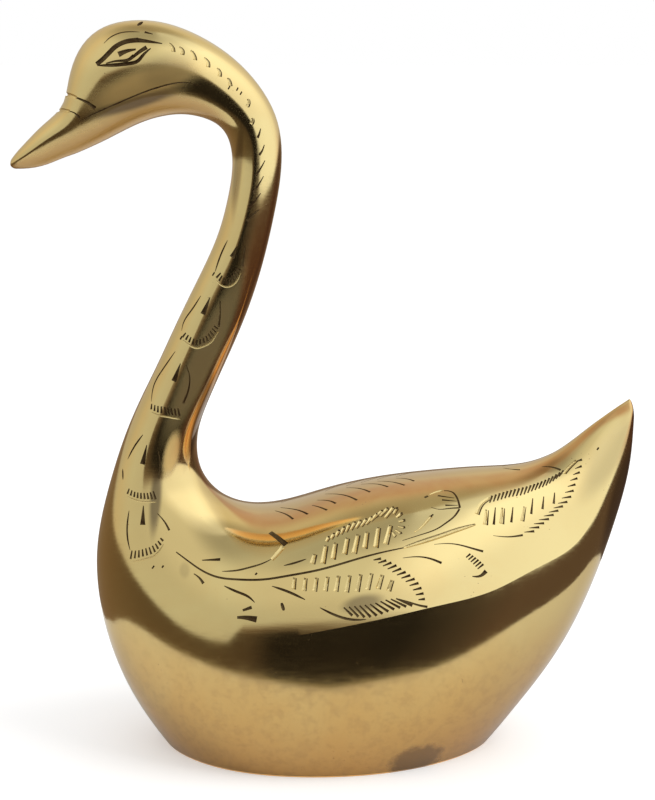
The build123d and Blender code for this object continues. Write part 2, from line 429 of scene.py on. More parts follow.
def half_section(row):
    """Height shares and distances from the middle down one side of a section, with a place on its fold."""
    out, belt, crown, keel, flank, bilge, fold, lean = row[4:12]
    share = np.linspace(0, 1, 60)
    shoulder = belt + (1 - belt) * flank
    upper = bezier(((1, 0), (1, out * crown), (shoulder, out), (belt, out)), share)
    lower = bezier(((belt, out), (belt - belt * bilge, out), (0, out * keel), (0, 0)), share)
    height, side = np.vstack([upper, lower[1:]]).T
    above = np.clip((height - fold) / (1 - fold), 0, 1)
    below = np.clip((fold - height) / fold, 0, 1)
    side = side * (1 - max(lean, 0) * above - max(-lean, 0) * below)
    tall = np.linalg.norm(row[0:2] - row[2:4])
    run = run_along(np.column_stack([height * tall, side]))
    middle = np.interp(-fold, -height, run)
    count = RING_POINTS // 4 + 1
    places = np.concatenate([np.linspace(0, middle, count), np.linspace(middle, run[-1], count)[1:]])
    return np.interp(places, run, height), np.interp(places, run, side)


def ring(row, shrink=1.0):
    """Points round a section, from its top down the left side to its bottom and up the right side."""
    top, bottom = row[0:2], row[2:4]
    height, side = half_section(row)
    line = bottom + (top - bottom) * height[:, None]
    left = np.column_stack([line[:, 0], -side, line[:, 1]])
    right = left[-2:0:-1] * (1, -1, 1)
    points = np.vstack([left, right])
    middle = points.mean(axis=0)
    return middle + (points - middle) * shrink


def spread(rows):
    """Knots of the sections along the form, by the mean of their steps at top and bottom."""
    steps = np.diff(rows[:, 0:4].reshape(len(rows), 2, 2), axis=0)
    return np.concatenate([[0.0], np.cumsum(np.linalg.norm(steps, axis=2).mean(axis=1))])


def form_rings(rows, tip):
    """Rings along a form, closed with rounded tips of a depth."""
    knots = spread(rows)
    end = knots[-1]
    count = int((end - 2 * tip) / RING_STEP)
    body = np.linspace(tip, end - tip, count)
    turn = np.linspace(math.pi / 2, 0, TIP_STEPS + 1)[:-1]
    places = np.concatenate([tip * (1 - np.sin(turn)), body, end - tip * (1 - np.sin(turn[::-1]))])
    shrinks = np.concatenate([np.cos(turn), np.ones(count), np.cos(turn[::-1])])
    sections = natural_spline(knots, rows, places)
    return [ring(row, max(shrink, 0.02)) for row, shrink in zip(sections, shrinks)], np.abs(sections[:, 11])


def extruded_form(name, rings, folds=None, open_start=False, open_end=False):
    """A form made from a circle by extruding its edge from ring to ring and drawing its ends together."""
    count = len(rings[0])
    bpy.ops.object.select_all(action="DESELECT")
    bpy.ops.mesh.primitive_circle_add(vertices=count, radius=MM)
    form = bpy.context.object
    form.name = name
    bpy.ops.object.mode_set(mode="EDIT")
    bpy.ops.mesh.select_mode(type="VERT")
    bpy.ops.mesh.select_all(action="SELECT")
    mesh = bmesh.from_edit_mesh(form.data)
    order = mesh.verts.layers.int.new("order")
    station = mesh.verts.layers.int.new("station")
    for number, vertex in enumerate(mesh.verts):
        vertex[order] = number
    for number, points in enumerate(rings):
        if number:
            bpy.ops.mesh.extrude_region()
            mesh = bmesh.from_edit_mesh(form.data)
            order = mesh.verts.layers.int["order"]
            station = mesh.verts.layers.int["station"]
        for vertex in mesh.verts:
            if vertex.select:
                vertex.co = points[vertex[order]]
                vertex[station] = number
    if folds is not None:
        mark_folds(form, folds)
    for end, is_open in ((0, open_start), (len(rings) - 1, open_end)):
        if not is_open:
            select_vertices(form, "station", end)
            bpy.ops.mesh.merge(type="CENTER")
    bpy.ops.mesh.select_all(action="SELECT")
    bpy.ops.mesh.normals_make_consistent(inside=False)
    bpy.ops.mesh.faces_shade_smooth()
    bpy.ops.object.mode_set(mode="OBJECT")
    return form


def select_vertices(form, layer_name, value):
    """Selects the vertices of one ring, in edit mode."""
    bpy.ops.mesh.select_mode(type="VERT")
    bpy.ops.mesh.select_all(action="DESELECT")
    mesh = bmesh.from_edit_mesh(form.data)
    layer = mesh.verts.layers.int[layer_name]
    for vertex in mesh.verts:
        vertex.select = vertex[layer] == value
    mesh.select_flush(True)
    bmesh.update_edit_mesh(form.data)


def mark_folds(form, folds):
    """Marks the edge along a fold of the sides sharp where the sections have one, in edit mode."""
    bpy.ops.mesh.select_mode(type="EDGE")
    bpy.ops.mesh.select_all(action="DESELECT")
    mesh = bmesh.from_edit_mesh(form.data)
    order = mesh.verts.layers.int["order"]
    station = mesh.verts.layers.int["station"]
    sides = (RING_POINTS // 4, RING_POINTS * 3 // 4)
    for edge in mesh.edges:
        a, b = edge.verts
        along = a[order] == b[order] and a[order] in sides
        edge.select = along and bool(folds[a[station]] > FOLD_SHOWS)
    bmesh.update_edit_mesh(form.data)
    bpy.ops.mesh.mark_sharp()


def duck_form():
    """The whole outer form of the duck, which the pieces are cut from."""
    sizes, _ = settings()
    rings, folds = form_rings(section_rows(), sizes.tip_round)
    return extruded_form("duck_form", rings, folds)


def hollow_form():
    """The inside of the body, flat above under the neck's boss."""
    sizes, _ = settings()
    rows = section_rows()[HOLLOW_FROM:len(TAIL + BACK + BREAST)]
    rings, _ = form_rings(thinned(rows, sizes.wall), 0.2 * MM)
    hollow = extruded_form("hollow_form", rings)
    place, up, _ = neck_seat()
    slice_off(hollow, place - up * sizes.socket_depth, up, front_only)
    return hollow


def neck_seat():
    """Middle of the seat between neck and body, its direction up the neck and its tilt about Y."""
    sizes, _ = settings()
    top_x, top_z, bottom_x, bottom_z = NECK[0][0:4]
    back = Vector((sizes.half_length * top_x / 100, 0, sizes.height * top_z / 100))
    foot = Vector((sizes.half_length * bottom_x / 100, 0, sizes.height * bottom_z / 100))
    across = back - foot
    up = Vector((-across.z, 0, across.x)).normalized()
    return (back + foot) / 2, up, math.atan2(up.x, up.z)


def front_only(centre):
    """True on the neck's side of the duck, so that a level cut there leaves the tail alone."""
    return centre.x < NECK_SIDE


def everywhere(centre):
    """True at any place."""
    return True


def slice_off(piece, place, normal, where=everywhere):
    """Cuts a piece along a plane, drops the side that the normal points to and closes the cut."""
    select_faces(piece, lambda face: where(face.calc_center_median()))
    bpy.ops.mesh.bisect(
        plane_co=place, plane_no=normal, use_fill=True, clear_outer=True, threshold=MERGE_REACH
    )
    bpy.ops.object.mode_set(mode="OBJECT")


def combine(piece, other, operation):
    """Joins or cuts a piece with another closed form, which is used up."""
    modifier = piece.modifiers.new("combine", "BOOLEAN")
    modifier.operation = operation
    modifier.solver = "MANIFOLD"
    modifier.object = other
    if hasattr(modifier, "material_mode"):
        modifier.material_mode = "TRANSFER"
    activate(piece)
    bpy.ops.object.modifier_apply(modifier=modifier.name)
    if piece.modifiers:
        raise RuntimeError(f"{other.name} could not be combined with {piece.name}")
    remove(other)


def rod(name, radius, length):
    """A round rod hanging from the neck's seat, chamfered at its lower end."""
    place, up, tilt = neck_seat()
    middle = place - up * (length / 2 - 0.5 * MM)
    bpy.ops.object.select_all(action="DESELECT")
    bpy.ops.mesh.primitive_cylinder_add(
        vertices=64, radius=radius, depth=length + MM, location=middle, rotation=(0, tilt, 0)
    )
    made = bpy.context.object
    made.name = name
    bpy.ops.object.transform_apply(location=True, rotation=True, scale=True)
    select_faces(made, lambda face: face.normal.dot(up) < -FLAT)
    bpy.ops.mesh.bevel(offset=ROD_CHAMFER, segments=1, affect="EDGES")
    bpy.ops.object.mode_set(mode="OBJECT")
    return made


def paint(piece, material):
    """Gives a whole piece one material."""
    piece.data.materials.clear()
    piece.data.materials.append(material)


def smooth_path(points, count):
    """Evenly spaced places on a smooth curve through a few points of the side view."""
    points = np.array(points, float)
    knots = run_along(points)
    dense = natural_spline(knots, points, np.linspace(0, knots[-1], 120))
    run = run_along(dense)
    even = np.linspace(0, run[-1], count)
    return np.column_stack([np.interp(even, run, dense[:, 0]), np.interp(even, run, dense[:, 1])])


def line(points, width, start=0.25, end=0.25):
    """A cut that thins out towards its ends, through points of the side view in millimetres."""
    return points, width, start, end


def painted_shade_edges(strokes):
    """Narrow stained cuts along the right side of others, as painted shade on that side."""
    edges = []
    for points, width, start, end in strokes:
        shift = SHADE_EDGE_WIDTH * width / MM
        moved = tuple((x + shift, z - 0.3 * shift) for x, z in points)
        edges.append(line(moved, SHADE_EDGE_WIDTH * width, start, end))
    return edges


def comb(outer, inner, count, width, start=1.0, end=0.35):
    """A row of short cuts from places along one curve to places along another."""
    ends = zip(smooth_path(outer, count), smooth_path(inner, count))
    return [line((tuple(a), tuple(b)), width, start, end) for a, b in ends]


def dots(outer, count, width):
    """Punched marks in a row along a curve."""
    return [pit(x, z, width) for x, z in smooth_path(outer, count)]


def pit(x, z, width):
    """A short punched mark."""
    return line(((x - 0.15, z + 0.1), (x + 0.15, z - 0.1)), width, 0.9, 0.9)


def wedge(tip, foot, width):
    """A cut that starts as a point and ends broad."""
    return line((tip, foot), width, 0.15, 1.0)


def apart(strokes):
    """Sorts cuts into groups in which none touches another."""
    groups = []
    for stroke in strokes:
        path = smooth_path(stroke[0], 9)
        for group in groups:
            gaps = (
                np.linalg.norm(path[:, None] - other, axis=2).min() - (stroke[1] + width) * CUT_GAP / MM
                for other, width in group["paths"]
            )
            if all(gap > 0 for gap in gaps):
                break
        else:
            group = {"strokes": [], "paths": []}
            groups.append(group)
        group["strokes"].append(stroke)
        group["paths"].append((path, stroke[1]))
    return [group["strokes"] for group in groups]


def skin_of(form):
    """The faces of a form, to find places on it."""
    places = [vertex.co.copy() for vertex in form.data.vertices]
    faces = [tuple(polygon.vertices) for polygon in form.data.polygons]
    return BVHTree.FromPolygons(places, faces), places, faces


def on_side(tree, x, z):
    """Place and normal on the left side of the form at a point of the side view."""
    place, normal, _, _ = tree.ray_cast(Vector((x, -1, z)), Vector((0, 1, 0)))
    if place is None:
        place, normal, _, _ = tree.find_nearest(Vector((x, -0.2 * MM, z)))
    return place, normal


def on_top(tree, x, y):
    """Place and normal on the upper side of the form at a point of the top view."""
    place, normal, _, _ = tree.ray_cast(Vector((x, y, 1)), Vector((0, 0, -1)))
    return place, normal


def cutters(form, strokes, material, seat):
    """Tapering rods along the strokes, sunk in the left side of the form, as one mesh."""
    curve = bpy.data.curves.new("cuts", "CURVE")
    curve.dimensions = "3D"
    curve.bevel_depth = MM
    curve.bevel_resolution = 2
    curve.use_fill_caps = True
    tree, _, _ = skin_of(form)
    for points, width, start, end in strokes:
        span = sum(math.dist(a, b) for a, b in zip(points, points[1:]))
        count = max(5, int(span / CUT_STEP) + 3)
        spline = curve.splines.new("POLY")
        spline.points.add(count - 1)
        radius = CUT_RADIUS * width / MM
        for number, (a, b) in enumerate(smooth_path(points, count)):
            share = number / (count - 1)
            if start == end:
                thin = 1 - (1 - end) * abs(2 * share - 1) ** 3
            else:
                thin = start + (end - start) * share
            place, normal = seat(tree, a * MM, b * MM)
            spline.points[number].co = (*(place + normal * radius * thin * CUT_RISE * MM), 1)
            spline.points[number].radius = radius * thin
    made = bpy.data.objects.new("cuts", curve)
    bpy.context.collection.objects.link(made)
    activate(made)
    bpy.ops.object.convert(target="MESH")
    made = bpy.context.object
    bpy.ops.object.mode_set(mode="EDIT")
    bpy.ops.mesh.select_all(action="SELECT")
    bpy.ops.mesh.remove_doubles(threshold=MERGE_REACH)
    bpy.ops.mesh.normals_make_consistent(inside=False)
    bpy.ops.mesh.faces_shade_smooth()
    bpy.ops.object.mode_set(mode="OBJECT")
    paint(made, material)
    return made


def mirrored(piece, name):
    """A copy of a piece on the other side, with its faces outwards."""
    other = copy_of(piece, name)
    bpy.ops.object.mode_set(mode="EDIT")
    bpy.ops.mesh.select_all(action="SELECT")
    bpy.ops.transform.mirror(
        orient_type="GLOBAL", constraint_axis=(False, True, False), center_override=(0, 0, 0)
    )
    bpy.ops.mesh.flip_normals()
    bpy.ops.object.mode_set(mode="OBJECT")
    return other


def engrave(piece, form, strokes, finish, both_sides=False, seat=on_side):
    """Cuts strokes into the left side of a piece, or into both."""
    for group in apart(strokes):
        cuts = cutters(form, group, finish_material(finish), seat)
        if both_sides:
            combine(piece, mirrored(cuts, "cuts_right"), "DIFFERENCE")
        combine(piece, cuts, "DIFFERENCE")


def follow_form(piece, form, material_name):
    """Gives polished faces the smooth normals of the uncut form, so that no cut or joint shows in them."""
    source = form.data
    tree, places, faces = skin_of(form)
    starts = [polygon.loop_start for polygon in source.polygons]
    corners = [corner.vector.copy() for corner in source.corner_normals]
    mesh = piece.data
    slot = mesh.materials.find(material_name)
    normals = [Vector((0, 0, 0))] * len(mesh.loops)
    for polygon in mesh.polygons:
        if polygon.material_index != slot:
            continue
        centre = polygon.center
        for loop in polygon.loop_indices:
            corner = mesh.vertices[mesh.loops[loop].vertex_index].co
            place, _, index, distance = tree.find_nearest(corner.lerp(centre, INSIDE_FACE))
            if index is None or distance > SKIN_REACH:
                continue
            face = faces[index]
            weights = poly_3d_calc([places[v] for v in face], place)
            normal = Vector((0, 0, 0))
            for step, weight in enumerate(weights):
                normal += corners[starts[index] + step] * weight
            if normal.dot(polygon.normal) > LIKE_FACING:
                normals[loop] = normal.normalized()
    mesh.normals_split_custom_set(normals)


def gathered(*groups):
    """Bright cuts and stained cuts of several groups together."""
    bright = [cut for group in groups for cut in group[0]]
    stained = [cut for group in groups for cut in group[1]]
    return bright, stained


def eye():
    """Stained cuts of the eye and brow."""
    lid = ((-44.8, 141.5), (-43.0, 143.0), (-40.9, 145.0), (-38.9, 145.9), (-36.6, 146.2))
    lower_lid = (
        (-44.6, 141.3), (-41.3, 141.4), (-38.3, 141.7), (-36.6, 142.2), (-35.7, 143.2), (-34.1, 144.6),
    )
    brow = ((-43.4, 145.5), (-42.4, 146.5), (-41.2, 147.2), (-39.3, 147.7), (-36.4, 147.7))
    return [], [
        line(lid, 1.15 * MM, 0.9, 1.0),
        line(((-37.0, 146.2), (-34.4, 145.9), (-31.9, 145.5)), 1.1 * MM, 1.0, 0.2),
        line(lower_lid, 0.8 * MM),
        line(((-42.9, 141.7), (-40.4, 142.2), (-38.5, 142.4), (-37.4, 143.2)), 0.9 * MM, 0.3, 0.9),
        line(((-37.5, 143.0), (-36.2, 144.0), (-34.9, 144.8)), 0.9 * MM, 0.7, 1.0),
        line(((-40.4, 143.4), (-39.0, 144.0), (-37.0, 144.4)), 1.2 * MM, 1.0, 0.3),
        line(brow, 0.35 * MM),
        line(((-35.4, 147.7), (-34.6, 147.5), (-33.8, 147.3)), 0.65 * MM, 0.9, 0.3),
        line(((-36.1, 149.7), (-36.9, 148.9)), 0.9 * MM),
    ]


def mouth_and_bill():
    """Bright cuts and stained cuts along the mouth and round the two rolls at the root of the bill."""
    mouth = (
        (-48.5, 130.5), (-45.0, 132.2), (-40.4, 134.2), (-36.0, 136.0),
        (-31.0, 137.6), (-27.0, 138.0), (-24.6, 137.3),
    )
    bright = [
        line(((-52.3, 135.4), (-50.3, 135.4), (-49.0, 135.0)), 1.2 * MM, 1.0, 0.6),
        line(((-54.0, 132.2), (-52.0, 132.5), (-50.5, 132.4)), 1.2 * MM, 1.0, 0.5),
    ]
    stained = [
        line(mouth, 0.35 * MM),
        line(((-49.8, 135.3), (-47.8, 134.6), (-46.6, 134.0), (-45.3, 133.0)), 0.9 * MM, 0.3, 0.9),
        line(((-51.0, 132.5), (-49.4, 132.0), (-48.5, 131.1)), 0.6 * MM, 0.2, 0.8),
    ]
    return bright, stained


def nape():
    """Bright cuts and stained cuts in a row from the eye down the back of the neck."""
    sizes, _ = settings()
    bright = []
    for points in (
        ((-30.6, 145.6), (-29.9, 144.7), (-29.8, 144.0)),
        ((-28.6, 144.9), (-28.0, 144.2), (-28.1, 143.4)),
        ((-26.4, 144.2), (-25.8, 143.3), (-25.6, 142.4)),
        ((-23.8, 142.8), (-23.1, 141.9), (-23.1, 141.0)),
        ((-21.3, 140.8), (-20.8, 139.9), (-20.9, 139.2)),
        ((-19.3, 138.9), (-18.9, 138.1), (-18.8, 137.4)),
        ((-15.4, 134.8), (-15.3, 133.9), (-15.6, 133.3)),
        ((-14.6, 131.1), (-14.5, 130.5), (-14.8, 129.9)),
    ):
        bright.append(line(points, 0.75 * sizes.tick_width, 0.4, 0.8))
    stained = painted_shade_edges(bright)
    for points in (
        ((-12.9, 129.0), (-13.2, 127.9), (-13.5, 127.2)),
        ((-12.2, 125.8), (-12.7, 124.5), (-13.2, 123.8)),
        ((-12.1, 122.7), (-13.0, 121.1), (-13.9, 119.8)),
        ((-12.4, 119.6), (-13.4, 117.9), (-14.5, 116.4)),
        ((-13.0, 116.2), (-14.2, 114.7), (-15.3, 113.4)),
        ((-13.4, 112.9), (-14.7, 111.9), (-15.8, 110.8)),
    ):
        stained.append(line(points, 0.55 * sizes.tick_width, 0.3, 0.9))
    for x, z in ((-19.0, 137.0), (-17.4, 136.7), (-16.7, 135.9), (-16.3, 131.5)):
        stained.append(pit(x, z, 0.85 * MM))
    return bright, stained


def petal(left, tip, foot, right, outer, inner, count):
    """Cuts of a petal: two side lines, a wedge between them and a scalloped foot over a polished burr."""
    sizes, _ = settings()
    fine = sizes.line_width
    burr = line(tuple((x + 0.1, z - 0.55) for x, z in outer), 0.4 * MM)
    stained = [line(left, 0.6 * fine), wedge(tip, foot, 1.2 * MM), line(right, 0.75 * fine, 0.3, 0.9)]
    stained += comb(outer, inner, count, 0.7 * sizes.comb_width, 1.0, 0.6)
    return [burr], stained


def neck_petals():
    """Bright cuts and stained cuts of the three petals on the neck."""
    upper = petal(
        left=((-19.7, 106.8), (-21.0, 104.1), (-22.3, 100.4)),
        tip=(-17.8, 105.7),
        foot=(-18.8, 103.5),
        right=((-16.2, 105.7), (-16.5, 103.4), (-16.8, 101.6)),
        outer=((-22.0, 99.3), (-21.1, 98.4), (-19.7, 98.1), (-18.5, 98.7), (-17.7, 99.7), (-17.2, 100.8)),
        inner=((-21.1, 100.3), (-20.5, 99.5), (-19.7, 99.3), (-19.1, 99.8), (-18.5, 100.5), (-18.0, 101.3)),
        count=9,
    )
    middle = petal(
        left=((-25.2, 95.6), (-27.3, 92.4), (-28.9, 89.8), (-29.2, 88.4)),
        tip=(-23.3, 95.4),
        foot=(-24.8, 92.0),
        right=((-21.3, 94.7), (-21.3, 92.1), (-21.6, 89.5)),
        outer=(
            (-29.0, 87.2), (-27.7, 86.3), (-26.3, 85.7), (-24.7, 86.1),
            (-23.4, 86.8), (-22.4, 88.1), (-21.8, 89.0),
        ),
        inner=(
            (-28.3, 88.1), (-27.3, 87.4), (-26.3, 86.9), (-24.9, 87.2),
            (-23.9, 87.9), (-23.0, 89.0), (-22.5, 89.6),
        ),
        count=12,
    )
    lower = petal(
        left=((-30.5, 84.3), (-33.2, 80.4), (-35.1, 76.9), (-35.5, 74.0)),
        tip=(-29.4, 82.0),
        foot=(-30.8, 78.4),
        right=((-28.3, 81.8), (-27.6, 79.4), (-27.8, 76.8), (-28.9, 73.9)),
        outer=((-35.5, 72.5), (-34.0, 72.0), (-32.6, 71.8), (-31.1, 71.5), (-29.7, 71.2)),
        inner=((-35.4, 73.6), (-33.9, 73.3), (-32.5, 73.2), (-31.2, 72.9), (-30.0, 72.9)),
        count=9,
    )
    marks = [pit(-22.6, 100.0, 0.9 * MM), pit(-29.3, 87.0, 0.8 * MM)]
    return gathered(upper, middle, lower, ([], marks))


def breast_petals():
    """Bright cuts and stained cuts of the two petals on the breast."""
    upper = petal(
        left=((-37.2, 67.4), (-39.0, 64.9), (-40.5, 62.1)),
        tip=(-36.4, 65.4),
        foot=(-37.3, 61.5),
        right=((-34.1, 64.5), (-33.7, 62.1), (-34.0, 58.7)),
        outer=((-40.5, 55.3), (-38.9, 54.8), (-37.5, 54.6), (-35.9, 54.6), (-34.6, 54.6)),
        inner=((-40.1, 56.4), (-38.8, 55.9), (-37.5, 55.8), (-36.0, 55.9), (-35.1, 56.2)),
        count=9,
    )
    lower = petal(
        left=((-40.1, 52.1), (-40.5, 48.5), (-40.0, 45.0), (-39.8, 44.4)),
        tip=(-37.1, 53.3),
        foot=(-37.2, 49.6),
        right=((-34.2, 51.9), (-32.5, 50.1), (-31.7, 48.8)),
        outer=((-39.7, 42.7), (-38.0, 43.2), (-36.5, 43.7), (-35.0, 44.3), (-33.7, 45.5), (-32.9, 46.8)),
        inner=((-39.4, 44.4), (-38.1, 44.6), (-36.7, 45.1), (-35.4, 45.6), (-34.2, 46.5), (-33.5, 47.3)),
        count=10,
    )
    return gathered(upper, lower)


def first_leaf():
    """Bright cuts and stained cuts of the leaf above the stem."""
    sizes, _ = settings()
    short = sizes.comb_width
    edge = ((0.5, 48.7), (2.5, 49.8), (5.3, 51.1), (7.6, 51.7), (9.4, 52.3), (12.3, 53.6), (13.5, 53.8))
    edge_foot = ((0.0, 48.0), (1.7, 48.8), (4.7, 50.0), (6.9, 50.7), (8.4, 51.3), (10.3, 52.4), (11.8, 52.2))
    cap = ((14.2, 53.7), (15.2, 52.8), (15.6, 51.5), (15.2, 50.2), (13.8, 49.3))
    cap_foot = ((13.5, 52.8), (14.1, 52.3), (14.5, 51.5), (14.2, 50.7), (13.2, 50.0))
    ticks = (
        ((-2.3, 45.9), (-2.8, 44.3)),
        ((-0.1, 47.4), (-0.7, 44.4)),
        ((1.8, 47.9), (1.3, 45.2)),
        ((4.2, 48.8), (3.6, 46.1)),
        ((6.3, 49.4), (5.5, 46.3)),
        ((8.1, 49.9), (7.6, 47.2)),
        ((10.4, 50.7), (9.8, 47.4)),
        ((12.8, 51.1), (11.8, 48.0)),
    )
    bright = [line(ends, sizes.tick_width, 0.6, 0.9) for ends in ticks]
    bright += comb(edge, edge_foot, 13, 1.1 * short, 0.9, 0.6)
    bright += comb(cap, cap_foot, 6, 1.1 * short, 0.9, 0.5)
    return bright, dots(edge, 13, 0.75 * short) + dots(cap, 6, short) + painted_shade_edges(bright)


def second_leaf():
    """Bright cuts and stained cuts of the leaf under the stem."""
    sizes, _ = settings()
    fine, short = sizes.line_width, sizes.comb_width
    tops = ((-6.3, 41.8), (-2.3, 41.9), (1.6, 42.3), (5.9, 42.6), (10.9, 42.7), (13.0, 41.7))
    feet = ((-6.5, 39.8), (-3.2, 39.5), (0.7, 39.6), (5.3, 39.5), (10.2, 40.1), (12.3, 39.7))
    bright = comb(tops, feet, 10, 0.85 * sizes.tick_width, 0.5, 0.9)
    rim = ((10.9, 45.5), (13.6, 44.5), (15.8, 43.1), (17.9, 41.5), (19.1, 39.6), (19.5, 38.1))
    rim_foot = ((9.4, 45.2), (11.4, 44.1), (13.6, 42.8), (15.8, 41.3), (17.2, 39.7), (18.2, 38.0))
    low = ((5.2, 35.1), (8.3, 34.8), (11.0, 35.4), (13.6, 36.3), (17.0, 36.9))
    low_foot = ((3.5, 36.6), (6.8, 37.0), (9.4, 37.4), (11.5, 38.0), (13.8, 38.3))
    stained = painted_shade_edges(bright)
    stained += comb(rim, rim_foot, 12, 0.8 * short, 1.0, 0.4)
    stained += comb(low, low_foot, 11, 0.8 * short, 1.0, 0.5)
    stained += [
        line(((14.2, 38.2), (16.3, 37.6), (18.5, 36.9), (20.0, 36.6)), 0.8 * fine, 0.4, 0.9),
        line(((-1.2, 36.5), (0.7, 35.6), (3.2, 34.7), (5.7, 34.3), (7.9, 34.4)), 0.75 * fine),
        line(((-10.7, 40.1), (-7.6, 39.3), (-4.1, 37.9)), 0.75 * fine),
    ]
    return bright, stained


def third_leaf():
    """Bright cuts and stained cuts of the leaf towards the tail."""
    sizes, _ = settings()
    fine, tick, short = sizes.line_width, sizes.tick_width, sizes.comb_width
    bright = [
        line(((30.2, 52.8), (31.0, 54.2), (33.1, 55.4)), 1.1 * MM, 0.8, 0.6),
        line(((48.6, 59.2), (49.8, 60.4), (51.2, 61.6)), 0.9 * MM, 0.8, 0.6),
        line(((32.2, 53.5), (31.8, 51.0)), tick, 0.35, 0.8),
        line(((35.5, 53.7), (35.1, 51.0)), tick, 0.35, 0.8),
        line(((40.0, 53.7), (39.4, 51.2)), 0.8 * tick, 0.35, 0.8),
    ]
    stained = painted_shade_edges(bright)
    for ends in (
        ((34.1, 53.8), (33.6, 50.9)),
        ((37.7, 53.7), (37.2, 51.1)),
        ((41.9, 55.0), (41.4, 52.3)),
        ((44.2, 55.2), (43.8, 53.0)),
        ((46.5, 55.8), (46.2, 53.8)),
    ):
        stained.append(line(ends, 0.6 * tick, 0.3, 0.8))
    edge = ((33.6, 55.7), (36.0, 56.2), (38.4, 56.6), (40.9, 57.0), (43.4, 57.6), (45.8, 58.4), (48.6, 59.7))
    edge_foot = (
        (33.0, 54.6), (35.2, 55.0), (37.5, 55.4), (39.7, 55.6), (41.9, 56.2), (44.4, 56.9), (47.6, 58.6),
    )
    stained += comb(edge, edge_foot, 20, 0.7 * short, 0.9, 0.6)
    rim = (
        (52.4, 61.8), (52.3, 60.6), (51.6, 58.9), (50.8, 56.9),
        (49.9, 54.9), (47.8, 53.0), (45.5, 51.4), (41.9, 49.2),
    )
    rim_foot = (
        (50.9, 61.3), (50.9, 60.0), (50.1, 58.4), (49.1, 56.5),
        (47.9, 54.7), (45.8, 52.8), (43.0, 51.2), (39.8, 49.2),
    )
    stained += comb(rim, rim_foot, 15, 0.75 * short, 1.0, 0.25)
    stained.append(line(((33.4, 49.0), (36.5, 48.6), (39.5, 48.7)), 0.65 * fine, 0.2, 1.0))
    return bright, stained


def fan_and_tendrils():
    """Bright cuts and stained cuts of the small fan, the tendrils and the little leaf between the leaves."""
    sizes, _ = settings()
    fine, short = sizes.line_width, sizes.comb_width
    bright = [
        line(((21.0, 55.8), (22.4, 56.2), (23.6, 56.4)), 0.8 * MM, 0.4, 0.8),
        line(((21.1, 52.6), (20.2, 51.8), (19.0, 50.8), (17.6, 50.0)), 1.1 * fine, 0.9, 0.3),
    ]
    tendril = ((26.8, 53.7), (25.9, 52.7), (24.2, 51.6), (22.3, 50.6), (19.4, 49.7), (15.2, 48.6))
    stained = [
        pit(20.3, 55.5, 0.9 * MM),
        pit(21.2, 52.7, 0.9 * MM),
        line(((23.9, 56.4), (26.0, 56.0), (26.6, 55.1), (26.9, 53.9)), 0.75 * fine, 0.5, 0.9),
        line(((21.1, 54.0), (22.5, 53.7), (24.6, 53.8), (26.9, 53.9)), 0.6 * fine, 0.3, 0.9),
        line(tendril, 0.65 * fine, 0.9, 0.3),
        line(((21.5, 47.9), (24.1, 48.0), (26.9, 47.6), (29.3, 46.9), (31.3, 46.3)), 0.7 * fine, 0.2, 1.0),
        line(((15.2, 45.6), (18.0, 45.8), (20.4, 45.5), (22.9, 44.6)), 0.75 * fine, 0.2, 1.0),
        line(((31.8, 42.7), (30.7, 41.9), (29.0, 41.9)), 0.9 * MM, 1.0, 0.2),
    ]
    ribs = ((22.6, 55.7), (23.6, 54.9), (24.0, 54.3))
    rib_ends = ((25.9, 55.4), (26.4, 54.8), (26.5, 54.3))
    stained += comb(ribs, rib_ends, 3, 0.6 * short)
    leaf = ((28.7, 46.0), (30.0, 45.1), (31.3, 44.0))
    leaf_foot = ((27.8, 45.4), (29.1, 44.2), (30.1, 43.2))
    stained += comb(leaf, leaf_foot, 6, 0.7 * short, 0.9, 0.5)
    return bright, stained


def stem():
    """Bright cuts and stained cuts of the stem and its first sprout."""
    sizes, _ = settings()
    fine = sizes.line_width
    bright = [
        line(((15.4, 47.4), (18.7, 48.3), (22.5, 49.3), (25.8, 50.2), (29.9, 51.1)), 1.1 * MM, 0.4, 0.4),
        line(((-10.8, 44.5), (-9.6, 45.6), (-8.5, 46.7)), 1.3 * MM, 0.7, 0.9),
    ]
    root = ((-30.2, 44.9), (-27.7, 43.4), (-25.1, 42.0), (-22.0, 41.0), (-18.0, 40.8), (-12.9, 41.1))
    top = ((-7.2, 42.1), (-1.6, 43.2), (6.1, 45.3), (10.9, 46.5), (15.6, 47.4))
    stained = [
        line(root + top, 0.7 * fine, 0.5, 0.5),
        line(((-20.8, 42.0), (-18.0, 42.3), (-15.2, 43.0), (-12.4, 43.9), (-10.7, 44.7)), 0.6 * fine),
        line(((-11.3, 48.5), (-9.8, 47.9), (-8.0, 47.0)), 1.2 * MM, 0.8, 1.0),
        line(((-8.4, 43.7), (-6.4, 44.2), (-3.9, 45.0)), 0.65 * fine),
    ]
    return bright, stained


